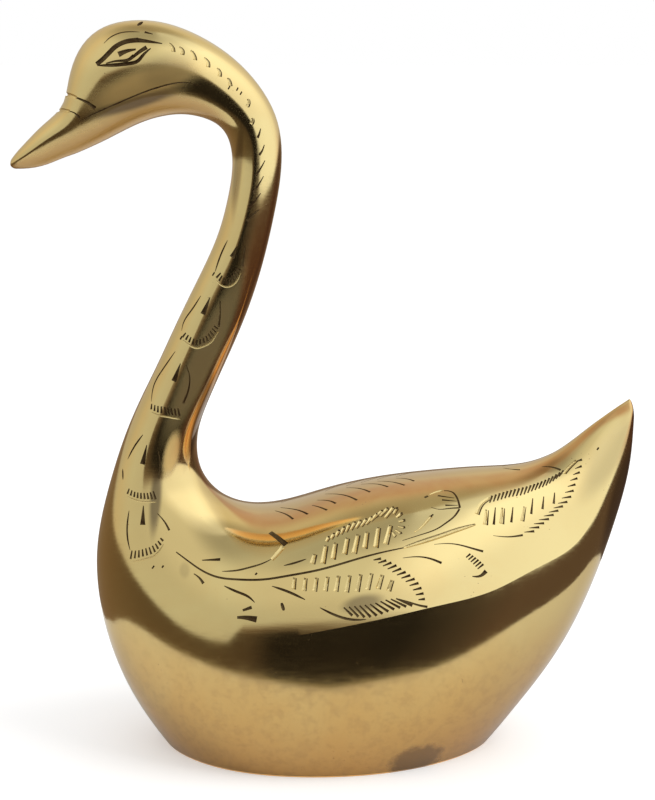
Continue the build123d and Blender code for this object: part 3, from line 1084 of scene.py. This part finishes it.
def stray_marks():
    """Stained marks of the graver between the petals and the leaves."""
    sizes, _ = settings()
    fine, tick = sizes.line_width, sizes.tick_width
    return [], [
        line(((-41.6, 60.0), (-41.5, 57.9)), 0.4 * tick),
        line(((-24.9, 43.7), (-21.2, 44.0)), 0.6 * tick, 0.3, 1.0),
        line(((-26.5, 41.2), (-25.3, 40.5), (-24.5, 39.6)), 0.55 * tick, 0.3, 1.0),
        line(((-20.3, 39.5), (-17.4, 38.6), (-15.1, 37.8), (-14.1, 37.0)), 0.75 * fine),
        line(((-16.5, 35.4), (-14.7, 36.1)), 0.8 * MM, 0.6, 0.9),
        line(((-17.6, 34.0), (-16.2, 34.1), (-13.7, 33.9)), 1.3 * MM, 0.4, 1.0),
        line(((-8.8, 37.2), (-8.3, 35.8)), 0.7 * MM, 0.6, 0.6),
        pit(-34.9, 41.7, 0.8 * MM),
        pit(-32.9, 42.0, 0.6 * MM),
        pit(-13.9, 42.0, 0.6 * MM),
        pit(55.7, 63.9, 0.7 * MM),
    ]


def ridge_hatching():
    """Stained strokes along the ridge of the back, through points of the top view in millimetres."""
    cuts = []
    for points in (
        ((-11.2, -2.7), (-8.4, -6.1), (-6.7, -9.2)),
        ((-10.2, -1.2), (-5.9, -5.7), (-3.7, -8.9)),
        ((-2.9, -5.5), (-1.2, -7.6), (0.2, -9.4)),
        ((-1.9, -3.6), (1.0, -6.3), (2.0, -7.8)),
        ((-0.2, -1.2), (3.7, -5.0), (6.3, -8.4)),
        ((4.2, -0.8), (7.2, -3.7), (9.0, -6.2)),
        ((7.2, -0.7), (9.9, -2.2), (12.7, -5.2)),
        ((10.6, -0.7), (13.6, -2.9), (16.1, -5.5)),
        ((14.5, -0.7), (16.9, -2.4), (18.1, -4.0)),
        ((36.6, -0.8), (38.9, -2.4), (39.9, -2.8)),
        ((44.3, -3.3), (45.9, -3.9), (48.0, -4.9)),
    ):
        cuts.append(line(points, 0.55 * MM, 0.3, 0.9))
    return cuts


def neck_engraving():
    """Bright cuts and stained cuts on the neck, head and bill."""
    return gathered(eye(), mouth_and_bill(), nape(), neck_petals())


def shell_engraving():
    """Bright cuts and stained cuts on the breast, back and flank."""
    leaves = first_leaf(), second_leaf(), third_leaf()
    return gathered(*leaves, stem(), fan_and_tendrils(), breast_petals(), stray_marks())


def new_tree(name):
    """A material with an empty node tree."""
    material = bpy.data.materials.new(name)
    material.use_nodes = True
    tree = material.node_tree
    tree.nodes.clear()
    return material, tree


def node(tree, kind, values=None, **options):
    """Adds a node with options, and sets its inputs by name or number."""
    made = tree.nodes.new(kind)
    for option, value in options.items():
        setattr(made, option, value)
    for socket, value in (values or {}).items():
        if isinstance(value, bpy.types.NodeSocket):
            tree.links.new(value, made.inputs[socket])
        else:
            made.inputs[socket].default_value = value
    return made


def calculate(tree, operation, a, b=0.0, clamp=False):
    """The result of an operation on two values or sockets."""
    return node(tree, "ShaderNodeMath", {0: a, 1: b}, operation=operation, use_clamp=clamp).outputs[0]


def product(tree, a, b):
    """Two values or sockets multiplied."""
    return calculate(tree, "MULTIPLY", a, b)


def remap(tree, value, low, high, to_low=0.0, to_high=1.0):
    """Stretches a span of values over another, with soft ends."""
    inputs = {"Value": value, "From Min": low, "From Max": high, "To Min": to_low, "To Max": to_high}
    return node(tree, "ShaderNodeMapRange", inputs, interpolation_type="SMOOTHSTEP").outputs["Result"]


def blend_colours(tree, share, a, b):
    """A colour between two."""
    made = node(tree, "ShaderNodeMix", data_type="RGBA")
    for socket, value in ((made.inputs[0], share), (made.inputs[6], a), (made.inputs[7], b)):
        if isinstance(value, bpy.types.NodeSocket):
            tree.links.new(value, socket)
        else:
            socket.default_value = value
    return made.outputs[2]


def full(colour):
    """A colour with its alpha."""
    return (*colour, 1.0)


def metal_wear_group():
    """Shared effect: tarnish clouds, casting pits and polishing scratches over a metal."""
    group = bpy.data.node_groups.get("metal_wear")
    if group:
        return group
    group = bpy.data.node_groups.new("metal_wear", "ShaderNodeTree")
    face = group.interface
    face.new_socket("Vector", in_out="INPUT", socket_type="NodeSocketVector")
    controls = (("Cloud Scale", 60.0), ("Pit Scale", 900.0), ("Pit Size", 0.2), ("Scratch Scale", 1.0))
    for name, default in controls:
        face.new_socket(name, in_out="INPUT", socket_type="NodeSocketFloat").default_value = default
    for name in ("Clouds", "Mottle", "Pits", "Scratches", "Height"):
        face.new_socket(name, in_out="OUTPUT", socket_type="NodeSocketFloat")
    enter = node(group, "NodeGroupInput")
    leave = node(group, "NodeGroupOutput")
    place = enter.outputs["Vector"]
    clouds = node(group, "ShaderNodeTexNoise", {
        "Vector": place, "Scale": enter.outputs["Cloud Scale"],
        "Detail": 4.0, "Roughness": 0.6, "Distortion": 0.4,
    }).outputs["Fac"]
    mottle = node(group, "ShaderNodeTexNoise", {
        "Vector": place, "Scale": 420.0, "Detail": 3.0, "Roughness": 0.65,
    }).outputs["Fac"]
    cells = node(group, "ShaderNodeTexVoronoi", {
        "Vector": place, "Scale": enter.outputs["Pit Scale"], "Randomness": 1.0,
    })
    chance = node(group, "ShaderNodeTexNoise", {
        "Vector": place, "Scale": 130.0, "Detail": 2.0,
    }).outputs["Fac"]
    reach = product(group, remap(group, chance, 0.5, 0.72), enter.outputs["Pit Size"])
    pits = calculate(group, "LESS_THAN", cells.outputs["Distance"], reach)
    stretched = node(group, "ShaderNodeMapping", {
        "Vector": place, "Scale": (160.0, 900.0, 2600.0), "Rotation": (0.0, 0.5, 0.2),
    })
    strokes = node(group, "ShaderNodeVectorMath", {
        0: stretched.outputs[0], "Scale": enter.outputs["Scratch Scale"],
    }, operation="SCALE")
    scratches = node(group, "ShaderNodeTexNoise", {
        "Vector": strokes.outputs[0], "Scale": 1.0, "Detail": 3.0, "Roughness": 0.7,
    }).outputs["Fac"]
    fine = remap(group, scratches, 0.35, 0.7)
    height = calculate(group, "SUBTRACT", product(group, fine, 0.12), pits)
    height = calculate(group, "ADD", height, product(group, mottle, 0.25))
    shown = {"Clouds": clouds, "Mottle": mottle, "Pits": pits, "Scratches": fine, "Height": height}
    for name, socket in shown.items():
        group.links.new(socket, leave.inputs[name])
    return group


def wear(tree, **values):
    """The shared wear effect in a material, on the piece's own coordinates."""
    place = node(tree, "ShaderNodeTexCoord").outputs["Object"]
    made = node(tree, "ShaderNodeGroup", node_tree=metal_wear_group())
    tree.links.new(place, made.inputs["Vector"])
    for name, value in values.items():
        made.inputs[name.replace("_", " ").title()].default_value = value
    return place, made.outputs


def metal(tree, colour, roughness, height, strength, distance, lacquer=0.0, bare=1.0):
    """A surface of bare metal, or with shares of clear lacquer and of bare metal, and its output."""
    bump = node(tree, "ShaderNodeBump", {"Strength": strength, "Distance": distance, "Height": height})
    shader = node(tree, "ShaderNodeBsdfPrincipled", {
        "Base Color": colour, "Metallic": bare, "Roughness": roughness, "Normal": bump.outputs["Normal"],
        "Coat Weight": lacquer, "Coat Roughness": 0.08,
    })
    node(tree, "ShaderNodeOutputMaterial", {"Surface": shader.outputs["BSDF"]})


def painted_reflection_ridge(tree, place, clouds):
    """Share of painted orange reflection along the ridge of the back and the edges of the neck."""
    reach = remap(tree, place["Z"], 0.050, 0.078, 0.0125, 0.0030)
    reach = product(tree, reach, remap(tree, place["X"], -0.024, -0.012, 0.28, 1.0))
    reach = product(tree, reach, remap(tree, place["X"], 0.028, 0.060, 1.0, 0.28))
    away = calculate(tree, "DIVIDE", calculate(tree, "ABSOLUTE", place["Y"]), reach)
    edge = remap(tree, place["X"], -0.028, -0.016, 1.0, 0.45)
    share = calculate(tree, "MAXIMUM", remap(tree, away, 0.15, 0.5), edge)
    limits = (
        remap(tree, away, 1.0, 0.7),
        remap(tree, place["X"], 0.065, 0.061),
        remap(tree, place["Z"], 0.132, 0.118),
        remap(tree, place["X"], -0.042, -0.036, 0.35, 1.0),
        remap(tree, place["Z"], 0.034, 0.046),
        remap(tree, clouds, 0.3, 0.6, 0.6, 0.95),
    )
    for limit in limits:
        share = product(tree, share, limit)
    return share


def soft_patches(tree, coordinates, place, patches):
    """Share in soft patches on the near side, for haze and for painted dark reflections and shade."""
    share = 0.0
    for x, z, wide, tall, turn, strength in patches:
        patch = node(tree, "ShaderNodeMapping", {
            "Vector": coordinates, "Location": (x * MM, 0, z * MM), "Rotation": (0, math.radians(turn), 0),
            "Scale": (wide * MM, 1, tall * MM),
        }, vector_type="TEXTURE")
        away = node(tree, "ShaderNodeVectorMath", {0: patch.outputs[0]}, operation="LENGTH").outputs["Value"]
        share = calculate(tree, "MAXIMUM", remap(tree, away, 1.3, 0.5, 0.0, strength), share)
    return product(tree, share, remap(tree, place["Y"], 0.002, -0.002))


def facing(tree):
    """The way that the surface faces along each axis."""
    normal = node(tree, "ShaderNodeNewGeometry").outputs["Normal"]
    return node(tree, "ShaderNodeSeparateXYZ", {0: normal}).outputs


def painted_reflection_back_of_neck(tree, place):
    """Share of painted orange reflection on faces turned towards the tail, down the back of the neck."""
    share = remap(tree, facing(tree)["X"], 0.25, 0.6, 0.0, 0.9)
    share = product(tree, share, remap(tree, place["Z"], 0.058, 0.068))
    return product(tree, share, remap(tree, place["Z"], 0.120, 0.100))


def painted_shade_under_jaw(tree, place):
    """Share of painted shade on faces turned down under the jaw and throat."""
    share = remap(tree, facing(tree)["Z"], -0.3, -0.62)
    share = product(tree, share, remap(tree, place["Z"], 0.112, 0.122))
    return product(tree, share, remap(tree, place["X"], -0.016, -0.024))


def rim_patch(tree, place, mottle):
    """Share of brown where the polish missed a patch of the near base rim."""
    spans = (("X", 0.019, 0.0075), ("Y", -0.0195, 0.006), ("Z", 0.002, 0.0052))
    away = 0.0
    for axis, middle, reach in spans:
        part = calculate(tree, "DIVIDE", calculate(tree, "SUBTRACT", place[axis], middle), reach)
        away = calculate(tree, "ADD", product(tree, part, part), away)
    ragged = calculate(tree, "ADD", away, product(tree, mottle, 0.9))
    return remap(tree, ragged, 1.5, 0.8, 0.0, 0.85)


def polished_brass():
    """Hand-polished and lacquered cast brass, mottled and dulled towards the base, its deeper gold there
    partly painted warm bounce light, with painted shade at the foot and under the jaw and painted dark and
    orange reflections in places.
    """
    _, finish = settings()
    material, tree = new_tree("polished_brass")
    coordinates, worn = wear(tree, cloud_scale=55.0, pit_scale=900.0, pit_size=0.12)
    place = node(tree, "ShaderNodeSeparateXYZ", {0: coordinates}).outputs
    # Deeper gold towards the base: partly tarnish, partly painted warm light bounced up from the floor
    low = remap(tree, place["Z"], 0.036, 0.014)
    # Painted contact shade: coppery colour towards the base rim
    foot = remap(tree, place["Z"], 0.016, 0.001)
    clouds = remap(tree, worn["Clouds"], 0.38, 0.66)
    mottle = remap(tree, worn["Mottle"], 0.42, 0.68)
    dull_and_warm_bounce = calculate(tree, "ADD", product(tree, clouds, 0.2), product(tree, low, 0.75), True)
    # Faces turned down under the jaw: painted shade in their colour, with real dulling in their roughness
    jaw = painted_shade_under_jaw(tree, place)
    haze = soft_patches(tree, coordinates, place, HAZE)
    # Brown patch down the neck: painted dark reflection, which also takes part of the metal away
    film = soft_patches(tree, coordinates, place, PAINTED_NECK_REFLECTION)
    # Brown: mottling darker towards the base, pits, the rim patch, and painted shade under the jaw
    stain_and_shade = product(tree, product(tree, mottle, low), 0.16)
    stain_and_shade = calculate(tree, "ADD", stain_and_shade, product(tree, worn["Pits"], 0.6), True)
    stain_and_shade = calculate(tree, "MAXIMUM", stain_and_shade, rim_patch(tree, place, worn["Mottle"]))
    stain_and_shade = calculate(tree, "MAXIMUM", stain_and_shade, product(tree, jaw, 0.12))
    layers = (
        (dull_and_warm_bounce, finish.gold),
        # Painted contact shade at the foot
        (product(tree, foot, 0.6), finish.copper),
        # Painted orange reflection along the ridge of the back and up the edges of the neck
        (painted_reflection_ridge(tree, place, worn["Clouds"]), finish.ridge),
        (stain_and_shade, finish.brown),
        # Orange tone of the painted shade under the jaw
        (product(tree, jaw, 0.5), finish.ridge),
        (product(tree, haze, 0.8), finish.gold),
        # Painted orange reflection on the back of the neck, by the way its faces turn
        (painted_reflection_back_of_neck(tree, place), finish.ridge),
        # Brown of the painted dark reflection down the neck
        (film, finish.brown),
        # Oxide-coloured patches of painted dark reflection and shade on the near side
        (soft_patches(tree, coordinates, place, PAINTED_DARK_PATCHES), finish.oxide_and_painted_dark),
    )
    colour = full(finish.brass)
    for share, layer in layers:
        colour = blend_colours(tree, share, colour, full(layer))
    rough = calculate(tree, "ADD", 0.08, product(tree, dull_and_warm_bounce, 0.11))
    rough = calculate(tree, "ADD", rough, product(tree, worn["Scratches"], 0.04))
    for share, gain in ((stain_and_shade, 0.25), (jaw, 0.18), (haze, 0.36)):
        rough = calculate(tree, "ADD", rough, product(tree, share, gain), True)
    rough = calculate(tree, "ADD", rough, remap(tree, place["Z"], 0.075, 0.130, 0.0, 0.03), True)
    veil = product(tree, haze, remap(tree, place["Z"], 0.090, 0.070, 0.16, 0.75))
    cover = calculate(tree, "MAXIMUM", product(tree, film, 0.45), veil)
    bare = calculate(tree, "SUBTRACT", 1.0, cover)
    metal(tree, colour, rough, worn["Height"], 0.05, 0.0001, 1.0, bare)
    return material


def cut_finish(name, least, most, roughness):
    """A graver's cut in pale metal with a share of dark residue between two limits."""
    _, finish = settings()
    material, tree = new_tree(name)
    _, worn = wear(tree, cloud_scale=260.0, pit_scale=2200.0, pit_size=0.3)
    dirt = remap(tree, worn["Clouds"], 0.35, 0.65, least, most)
    colour = blend_colours(tree, dirt, full(finish.fresh), full(finish.oxide_and_painted_dark))
    rough = calculate(tree, "ADD", roughness, product(tree, dirt, 0.2))
    metal(tree, colour, rough, worn["Height"], 0.15, 0.0001)
    return material


def bright_cut():
    """Graver's cuts that were polished again."""
    return cut_finish("bright_cut", 0.0, 0.15, 0.36)


def stained_cut():
    """Graver's cuts that hold dark residue."""
    return cut_finish("stained_cut", 0.9, 1.0, 0.4)


def cast_inside():
    """Rough cast wall inside the body."""
    _, finish = settings()
    material, tree = new_tree("cast_inside")
    _, worn = wear(tree, cloud_scale=90.0, pit_scale=600.0, pit_size=0.45)
    clouds = remap(tree, worn["Clouds"], 0.35, 0.65)
    colour = blend_colours(tree, clouds, full(finish.cast_skin), full(finish.brown))
    rough = calculate(tree, "ADD", 0.48, product(tree, worn["Mottle"], 0.25))
    metal(tree, colour, rough, worn["Height"], 0.7, 0.0003)
    return material


def ground_rim():
    """Base rim and joint faces, ground flat and left unpolished."""
    _, finish = settings()
    material, tree = new_tree("ground_rim")
    _, worn = wear(tree, cloud_scale=120.0, pit_scale=1200.0, pit_size=0.3, scratch_scale=1.6)
    clouds = remap(tree, worn["Clouds"], 0.4, 0.66)
    colour = blend_colours(tree, clouds, full(finish.gold), full(finish.brown))
    rough = calculate(tree, "ADD", 0.3, product(tree, worn["Scratches"], 0.2))
    metal(tree, colour, rough, worn["Height"], 0.35, 0.0001)
    return material


def brazing_brass():
    """Brazing metal that ran and froze in the joints."""
    _, finish = settings()
    material, tree = new_tree("brazing_brass")
    _, worn = wear(tree, cloud_scale=220.0, pit_scale=1100.0, pit_size=0.35)
    clouds = remap(tree, worn["Clouds"], 0.4, 0.7)
    colour = blend_colours(tree, clouds, full(finish.braze), full(finish.brown))
    rough = calculate(tree, "ADD", 0.3, product(tree, clouds, 0.25))
    metal(tree, colour, rough, worn["Height"], 0.5, 0.0002)
    return material


FINISHES = {
    "polished_brass": polished_brass,
    "bright_cut": bright_cut,
    "stained_cut": stained_cut,
    "cast_inside": cast_inside,
    "ground_rim": ground_rim,
    "brazing_brass": brazing_brass,
}


def finish_material(name):
    """A finish of the duck, made when it is first asked for."""
    made = bpy.data.materials.get("duck_" + name)
    if made is None:
        made = FINISHES[name]()
        made.name = "duck_" + name
    return made


def rim_faces(piece, material, is_cut):
    """Gives the flat cut faces of a piece their own material."""
    piece.data.materials.append(material)
    slot = len(piece.data.materials) - 1
    for polygon in piece.data.polygons:
        if is_cut(polygon):
            polygon.material_index = slot
            polygon.use_smooth = False


class DUCK_OT_body_shells(bpy.types.Operator):
    """Casts, hollows and engraves the left body shell and copies it to the right."""

    bl_idname = "duck.body_shells"
    bl_label = "Body shells"
    bl_options = {"REGISTER", "UNDO"}

    def execute(self, context):
        sizes, _ = settings()
        form = duck_form()
        left = copy_of(form, "left_shell")
        paint(left, finish_material("polished_brass"))
        place, up, _ = neck_seat()
        slice_off(left, place, up, front_only)
        slice_off(left, Vector((0, 0, 0)), Vector((0, 0, -1)))
        slice_off(left, Vector((0, 0, 0)), Vector((0, 1, 0)))

        def cut_face(polygon):
            """Whether a face lies on the base, the middle or the neck's seat."""
            centre, normal = polygon.center, polygon.normal
            flat = abs(centre.z) < ON_PLANE and normal.z < -FLAT
            middle = abs(centre.y) < ON_PLANE and normal.y > FLAT
            seat = abs((centre - place).dot(up)) < ON_PLANE and normal.dot(up) > FLAT
            return flat or middle or seat

        rim_faces(left, finish_material("ground_rim"), cut_face)
        hollow = hollow_form()
        paint(hollow, finish_material("cast_inside"))
        combine(left, hollow, "DIFFERENCE")
        bore = rod("bore", sizes.spigot_diameter / 2 + sizes.spigot_clearance, sizes.spigot_length)
        paint(bore, finish_material("ground_rim"))
        combine(left, bore, "DIFFERENCE")
        bright, stained = shell_engraving()
        engrave(left, form, bright, "bright_cut")
        engrave(left, form, stained, "stained_cut")
        engrave(left, form, ridge_hatching(), "stained_cut", seat=on_top)
        right = mirrored(left, "right_shell")
        for shell, cad in ((left, "body_left_shell"), (right, "body_right_shell")):
            follow_form(shell, form, "duck_polished_brass")
            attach(shell, "root")
            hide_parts(cad)
        remove(form)
        return {"FINISHED"}


class DUCK_OT_neck_and_head(bpy.types.Operator):
    """Casts and engraves the solid neck, head and bill with its spigot."""

    bl_idname = "duck.neck_and_head"
    bl_label = "Neck and head"
    bl_options = {"REGISTER", "UNDO"}

    def execute(self, context):
        sizes, _ = settings()
        form = duck_form()
        neck = copy_of(form, "neck_head_and_bill")
        paint(neck, finish_material("polished_brass"))
        place, up, _ = neck_seat()
        slice_off(neck, Vector((NECK_SIDE, 0, 0)), Vector((1, 0, 0)))
        slice_off(neck, place, -up)
        rim_faces(neck, finish_material("ground_rim"), lambda polygon: polygon.normal.dot(up) < -FLAT)
        spigot = rod("spigot", sizes.spigot_diameter / 2, sizes.spigot_length)
        paint(spigot, finish_material("ground_rim"))
        combine(neck, spigot, "UNION")
        bright, stained = neck_engraving()
        engrave(neck, form, bright, "bright_cut", both_sides=True)
        engrave(neck, form, stained, "stained_cut", both_sides=True)
        follow_form(neck, form, "duck_polished_brass")
        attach(neck, "root")
        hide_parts("neck_and_head")
        remove(form)
        return {"FINISHED"}


class DUCK_OT_brazes(bpy.types.Operator):
    """Gives the brazed joints inside the body their finish."""

    bl_idname = "duck.brazes"
    bl_label = "Brazed joints"
    bl_options = {"REGISTER", "UNDO"}

    def execute(self, context):
        for name in ("neck_braze", "seam_braze_breast", "seam_braze_back"):
            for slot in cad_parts[name].material_slots:
                slot.material = finish_material("brazing_brass")
        return {"FINISHED"}


def seen_directly(tree):
    """1 where the camera, polished metal or glass sees a surface, 0 where it only gives light."""
    path = node(tree, "ShaderNodeLightPath").outputs
    seen = calculate(tree, "ADD", path["Is Camera Ray"], path["Is Glossy Ray"], True)
    return calculate(tree, "ADD", seen, path["Is Transmission Ray"], True)


def studio_floor():
    """A large pale floor."""
    _, finish = settings()
    bpy.ops.object.select_all(action="DESELECT")
    bpy.ops.mesh.primitive_grid_add(x_subdivisions=4, y_subdivisions=4, size=FLOOR_SIZE)
    floor = bpy.context.object
    floor.name = "studio_floor"
    material, tree = new_tree("studio_floor")
    shader = node(tree, "ShaderNodeBsdfDiffuse", {"Color": full(finish.floor)})
    glow = node(tree, "ShaderNodeEmission", {"Strength": product(tree, seen_directly(tree), 0.3)})
    both = node(tree, "ShaderNodeAddShader", {0: shader.outputs[0], 1: glow.outputs[0]})
    node(tree, "ShaderNodeOutputMaterial", {"Surface": both.outputs[0]})
    paint(floor, material)


def bearing_round(tree):
    """Place and bearing round the duck, from 0 to 1 behind it and 0.5 to the viewer."""
    coordinates = node(tree, "ShaderNodeTexCoord").outputs["Object"]
    place = node(tree, "ShaderNodeSeparateXYZ", {0: coordinates}).outputs
    turn = calculate(tree, "ARCTAN2", place["X"], product(tree, place["Y"], -1.0))
    return place, calculate(tree, "ADD", calculate(tree, "DIVIDE", turn, 2 * math.pi), 0.5)


def colours_round(tree, bearing, stops):
    """Colours that change with the bearing round the duck, by stops in degrees."""
    made = node(tree, "ShaderNodeValToRGB", {"Fac": bearing})
    elements = made.color_ramp.elements
    while len(elements) < len(stops):
        elements.new(1.0)
    for element, (degrees, colour) in zip(elements, stops):
        element.position = degrees / 360 + 0.5
        element.color = full(colour) if isinstance(colour, tuple) else (colour, colour, colour, 1.0)
    return made.outputs["Color"]


def reflected_only(piece, material):
    """Makes a piece of the studio show only in polished metal."""
    paint(piece, material)
    piece.visible_camera = False
    piece.visible_diffuse = False
    piece.visible_transmission = False
    piece.visible_volume_scatter = False
    piece.visible_shadow = False


def reach_round(circle, stops):
    """A circle reshaped by reaches at bearings in degrees, just above the floor."""
    bearing = np.degrees(np.arctan2(circle[:, 0], -circle[:, 1]))
    bearings, reaches = np.array(stops).T
    return circle * np.interp(bearing, bearings, reaches)[:, None] + (0, 0, ABOVE_FLOOR)


def studio_sheet(circle):
    """The sheet of paper under the duck."""
    edge = reach_round(circle, SHEET)
    rings = [edge * (SHEET_OPENING, SHEET_OPENING, 1), edge]
    sheet = extruded_form("studio_sheet", rings, open_start=True, open_end=True)
    material, tree = new_tree("studio_sheet")
    _, bearing = bearing_round(tree)
    # Paper colour by bearing, darker towards the tail as painted shade
    shader = node(tree, "ShaderNodeBsdfDiffuse", {"Color": colours_round(tree, bearing, PAPER_AND_SHADE)})
    node(tree, "ShaderNodeOutputMaterial", {"Surface": shader.outputs[0]})
    reflected_only(sheet, material)


def studio_tent(circle):
    """The table, room and soft panels round the duck, as the polished metal shows them."""
    foot = reach_round(circle, TENT)
    rings = [reach_round(circle, SHEET), foot, foot + (0, 0, TENT_WALL)]
    for angle in np.radians(np.arange(TENT_STEP, 90, TENT_STEP)):
        narrow = foot * (math.cos(angle), math.cos(angle), 0)
        rings.append(narrow + (0, 0, TENT_WALL + (TENT_TOP - TENT_WALL) * math.sin(angle)))
    tent = extruded_form("studio_tent", rings, open_start=True)
    material, tree = new_tree("studio_tent")
    place, bearing = bearing_round(tree)
    panels = colours_round(tree, bearing, PANELS)
    room = colours_round(tree, bearing, ROOM)
    room = blend_colours(tree, remap(tree, place["Z"], 0.085, 0.20), room, full(ROOM_HIGH))
    sill = colours_round(tree, bearing, SILLS)
    high = remap(tree, place["Z"], 0.20, 0.40, 1.0, 1.2)
    high = product(tree, high, remap(tree, place["Z"], 0.52, 0.68, 1.0, 0.58))
    panels = node(tree, "ShaderNodeVectorMath", {0: panels, "Scale": high}, operation="SCALE")
    above = remap(tree, place["Z"], sill, product(tree, sill, SILL_BLEND))
    colour = blend_colours(tree, above, room, panels.outputs[0])
    glow = node(tree, "ShaderNodeEmission", {"Color": colour, "Strength": TENT_LIGHT})
    node(tree, "ShaderNodeOutputMaterial", {"Surface": glow.outputs[0]})
    material.cycles.emission_sampling = "NONE"
    reflected_only(tent, material)


def studio_surround():
    """What the polished metal reflects: paper on a dark table, soft panels and the room under them."""
    turn = np.linspace(0, 2 * math.pi, STUDIO_POINTS, endpoint=False)
    circle = np.column_stack([np.cos(turn), np.sin(turn), np.zeros(STUDIO_POINTS)])
    studio_sheet(circle)
    studio_tent(circle)


def studio_light():
    """A soft lamp from the right and a plain white sky."""
    lamp = bpy.data.lights.new("soft_lamp", "AREA")
    lamp.energy = LAMP_POWER
    lamp.size = LAMP_SIZE
    stand = bpy.data.objects.new("soft_lamp", lamp)
    stand.visible_glossy = False
    stand.location = LAMP_PLACE
    stand.rotation_euler = (LAMP_AIM - LAMP_PLACE).to_track_quat("-Z", "Y").to_euler()
    bpy.context.scene.collection.objects.link(stand)
    world = bpy.data.worlds.new("studio_sky")
    bpy.context.scene.world = world
    world.use_nodes = True
    tree = world.node_tree
    tree.nodes.clear()
    strength = calculate(tree, "ADD", 0.8, product(tree, seen_directly(tree), 0.2))
    sky = node(tree, "ShaderNodeBackground", {"Color": (1, 1, 1, 1), "Strength": strength})
    node(tree, "ShaderNodeOutputWorld", {"Surface": sky.outputs[0]})


def photo_camera():
    """A camera at the photograph's viewing angle."""
    data = bpy.data.cameras.new("photo_camera")
    data.lens = CAMERA_LENS
    data.sensor_width = 36
    data.clip_start = 0.01
    camera = bpy.data.objects.new("photo_camera", data)
    camera.location = CAMERA_PLACE
    camera.rotation_euler = (math.radians(CAMERA_TILT), 0, 0)
    bpy.context.scene.collection.objects.link(camera)
    bpy.context.scene.camera = camera


class DUCK_OT_stage(bpy.types.Operator):
    """Sets the pale floor, the soft studio light and the camera."""

    bl_idname = "duck.stage"
    bl_label = "Studio stage"
    bl_options = {"REGISTER", "UNDO"}

    def execute(self, context):
        studio_floor()
        studio_surround()
        studio_light()
        photo_camera()
        context.scene.view_settings.view_transform = "Standard"
        return {"FINISHED"}


class DUCK_PT_panel(bpy.types.Panel):
    """Lists the duck's sizes, finishes and pieces."""

    bl_idname = "DUCK_PT_panel"
    bl_label = "Cast brass duck"
    bl_space_type = "VIEW_3D"
    bl_region_type = "UI"
    bl_category = "Duck"

    def draw(self, context):
        layout = self.layout
        for group in (context.scene.duck_sizes, context.scene.duck_finish):
            box = layout.box()
            for name in group.__annotations__:
                box.prop(group, name)
        for operator in (DUCK_OT_body_shells, DUCK_OT_neck_and_head, DUCK_OT_brazes, DUCK_OT_stage):
            layout.operator(operator.bl_idname)


CLASSES = (
    DuckSizes,
    DuckFinish,
    DUCK_OT_body_shells,
    DUCK_OT_neck_and_head,
    DUCK_OT_brazes,
    DUCK_OT_stage,
    DUCK_PT_panel,
)


def register():
    """Makes the pieces' operators and the panel known."""
    for cls in CLASSES:
        bpy.utils.register_class(cls)
    bpy.types.Scene.duck_sizes = bpy.props.PointerProperty(type=DuckSizes)
    bpy.types.Scene.duck_finish = bpy.props.PointerProperty(type=DuckFinish)


def unregister():
    """Takes the operators and the panel away again."""
    del bpy.types.Scene.duck_finish
    del bpy.types.Scene.duck_sizes
    for cls in reversed(CLASSES):
        bpy.utils.unregister_class(cls)


def main():
    """Builds the duck on its stage."""
    register()
    bpy.ops.duck.body_shells()
    bpy.ops.duck.neck_and_head()
    bpy.ops.duck.brazes()
    bpy.ops.duck.stage()


if __name__ == "__main__":
    main()
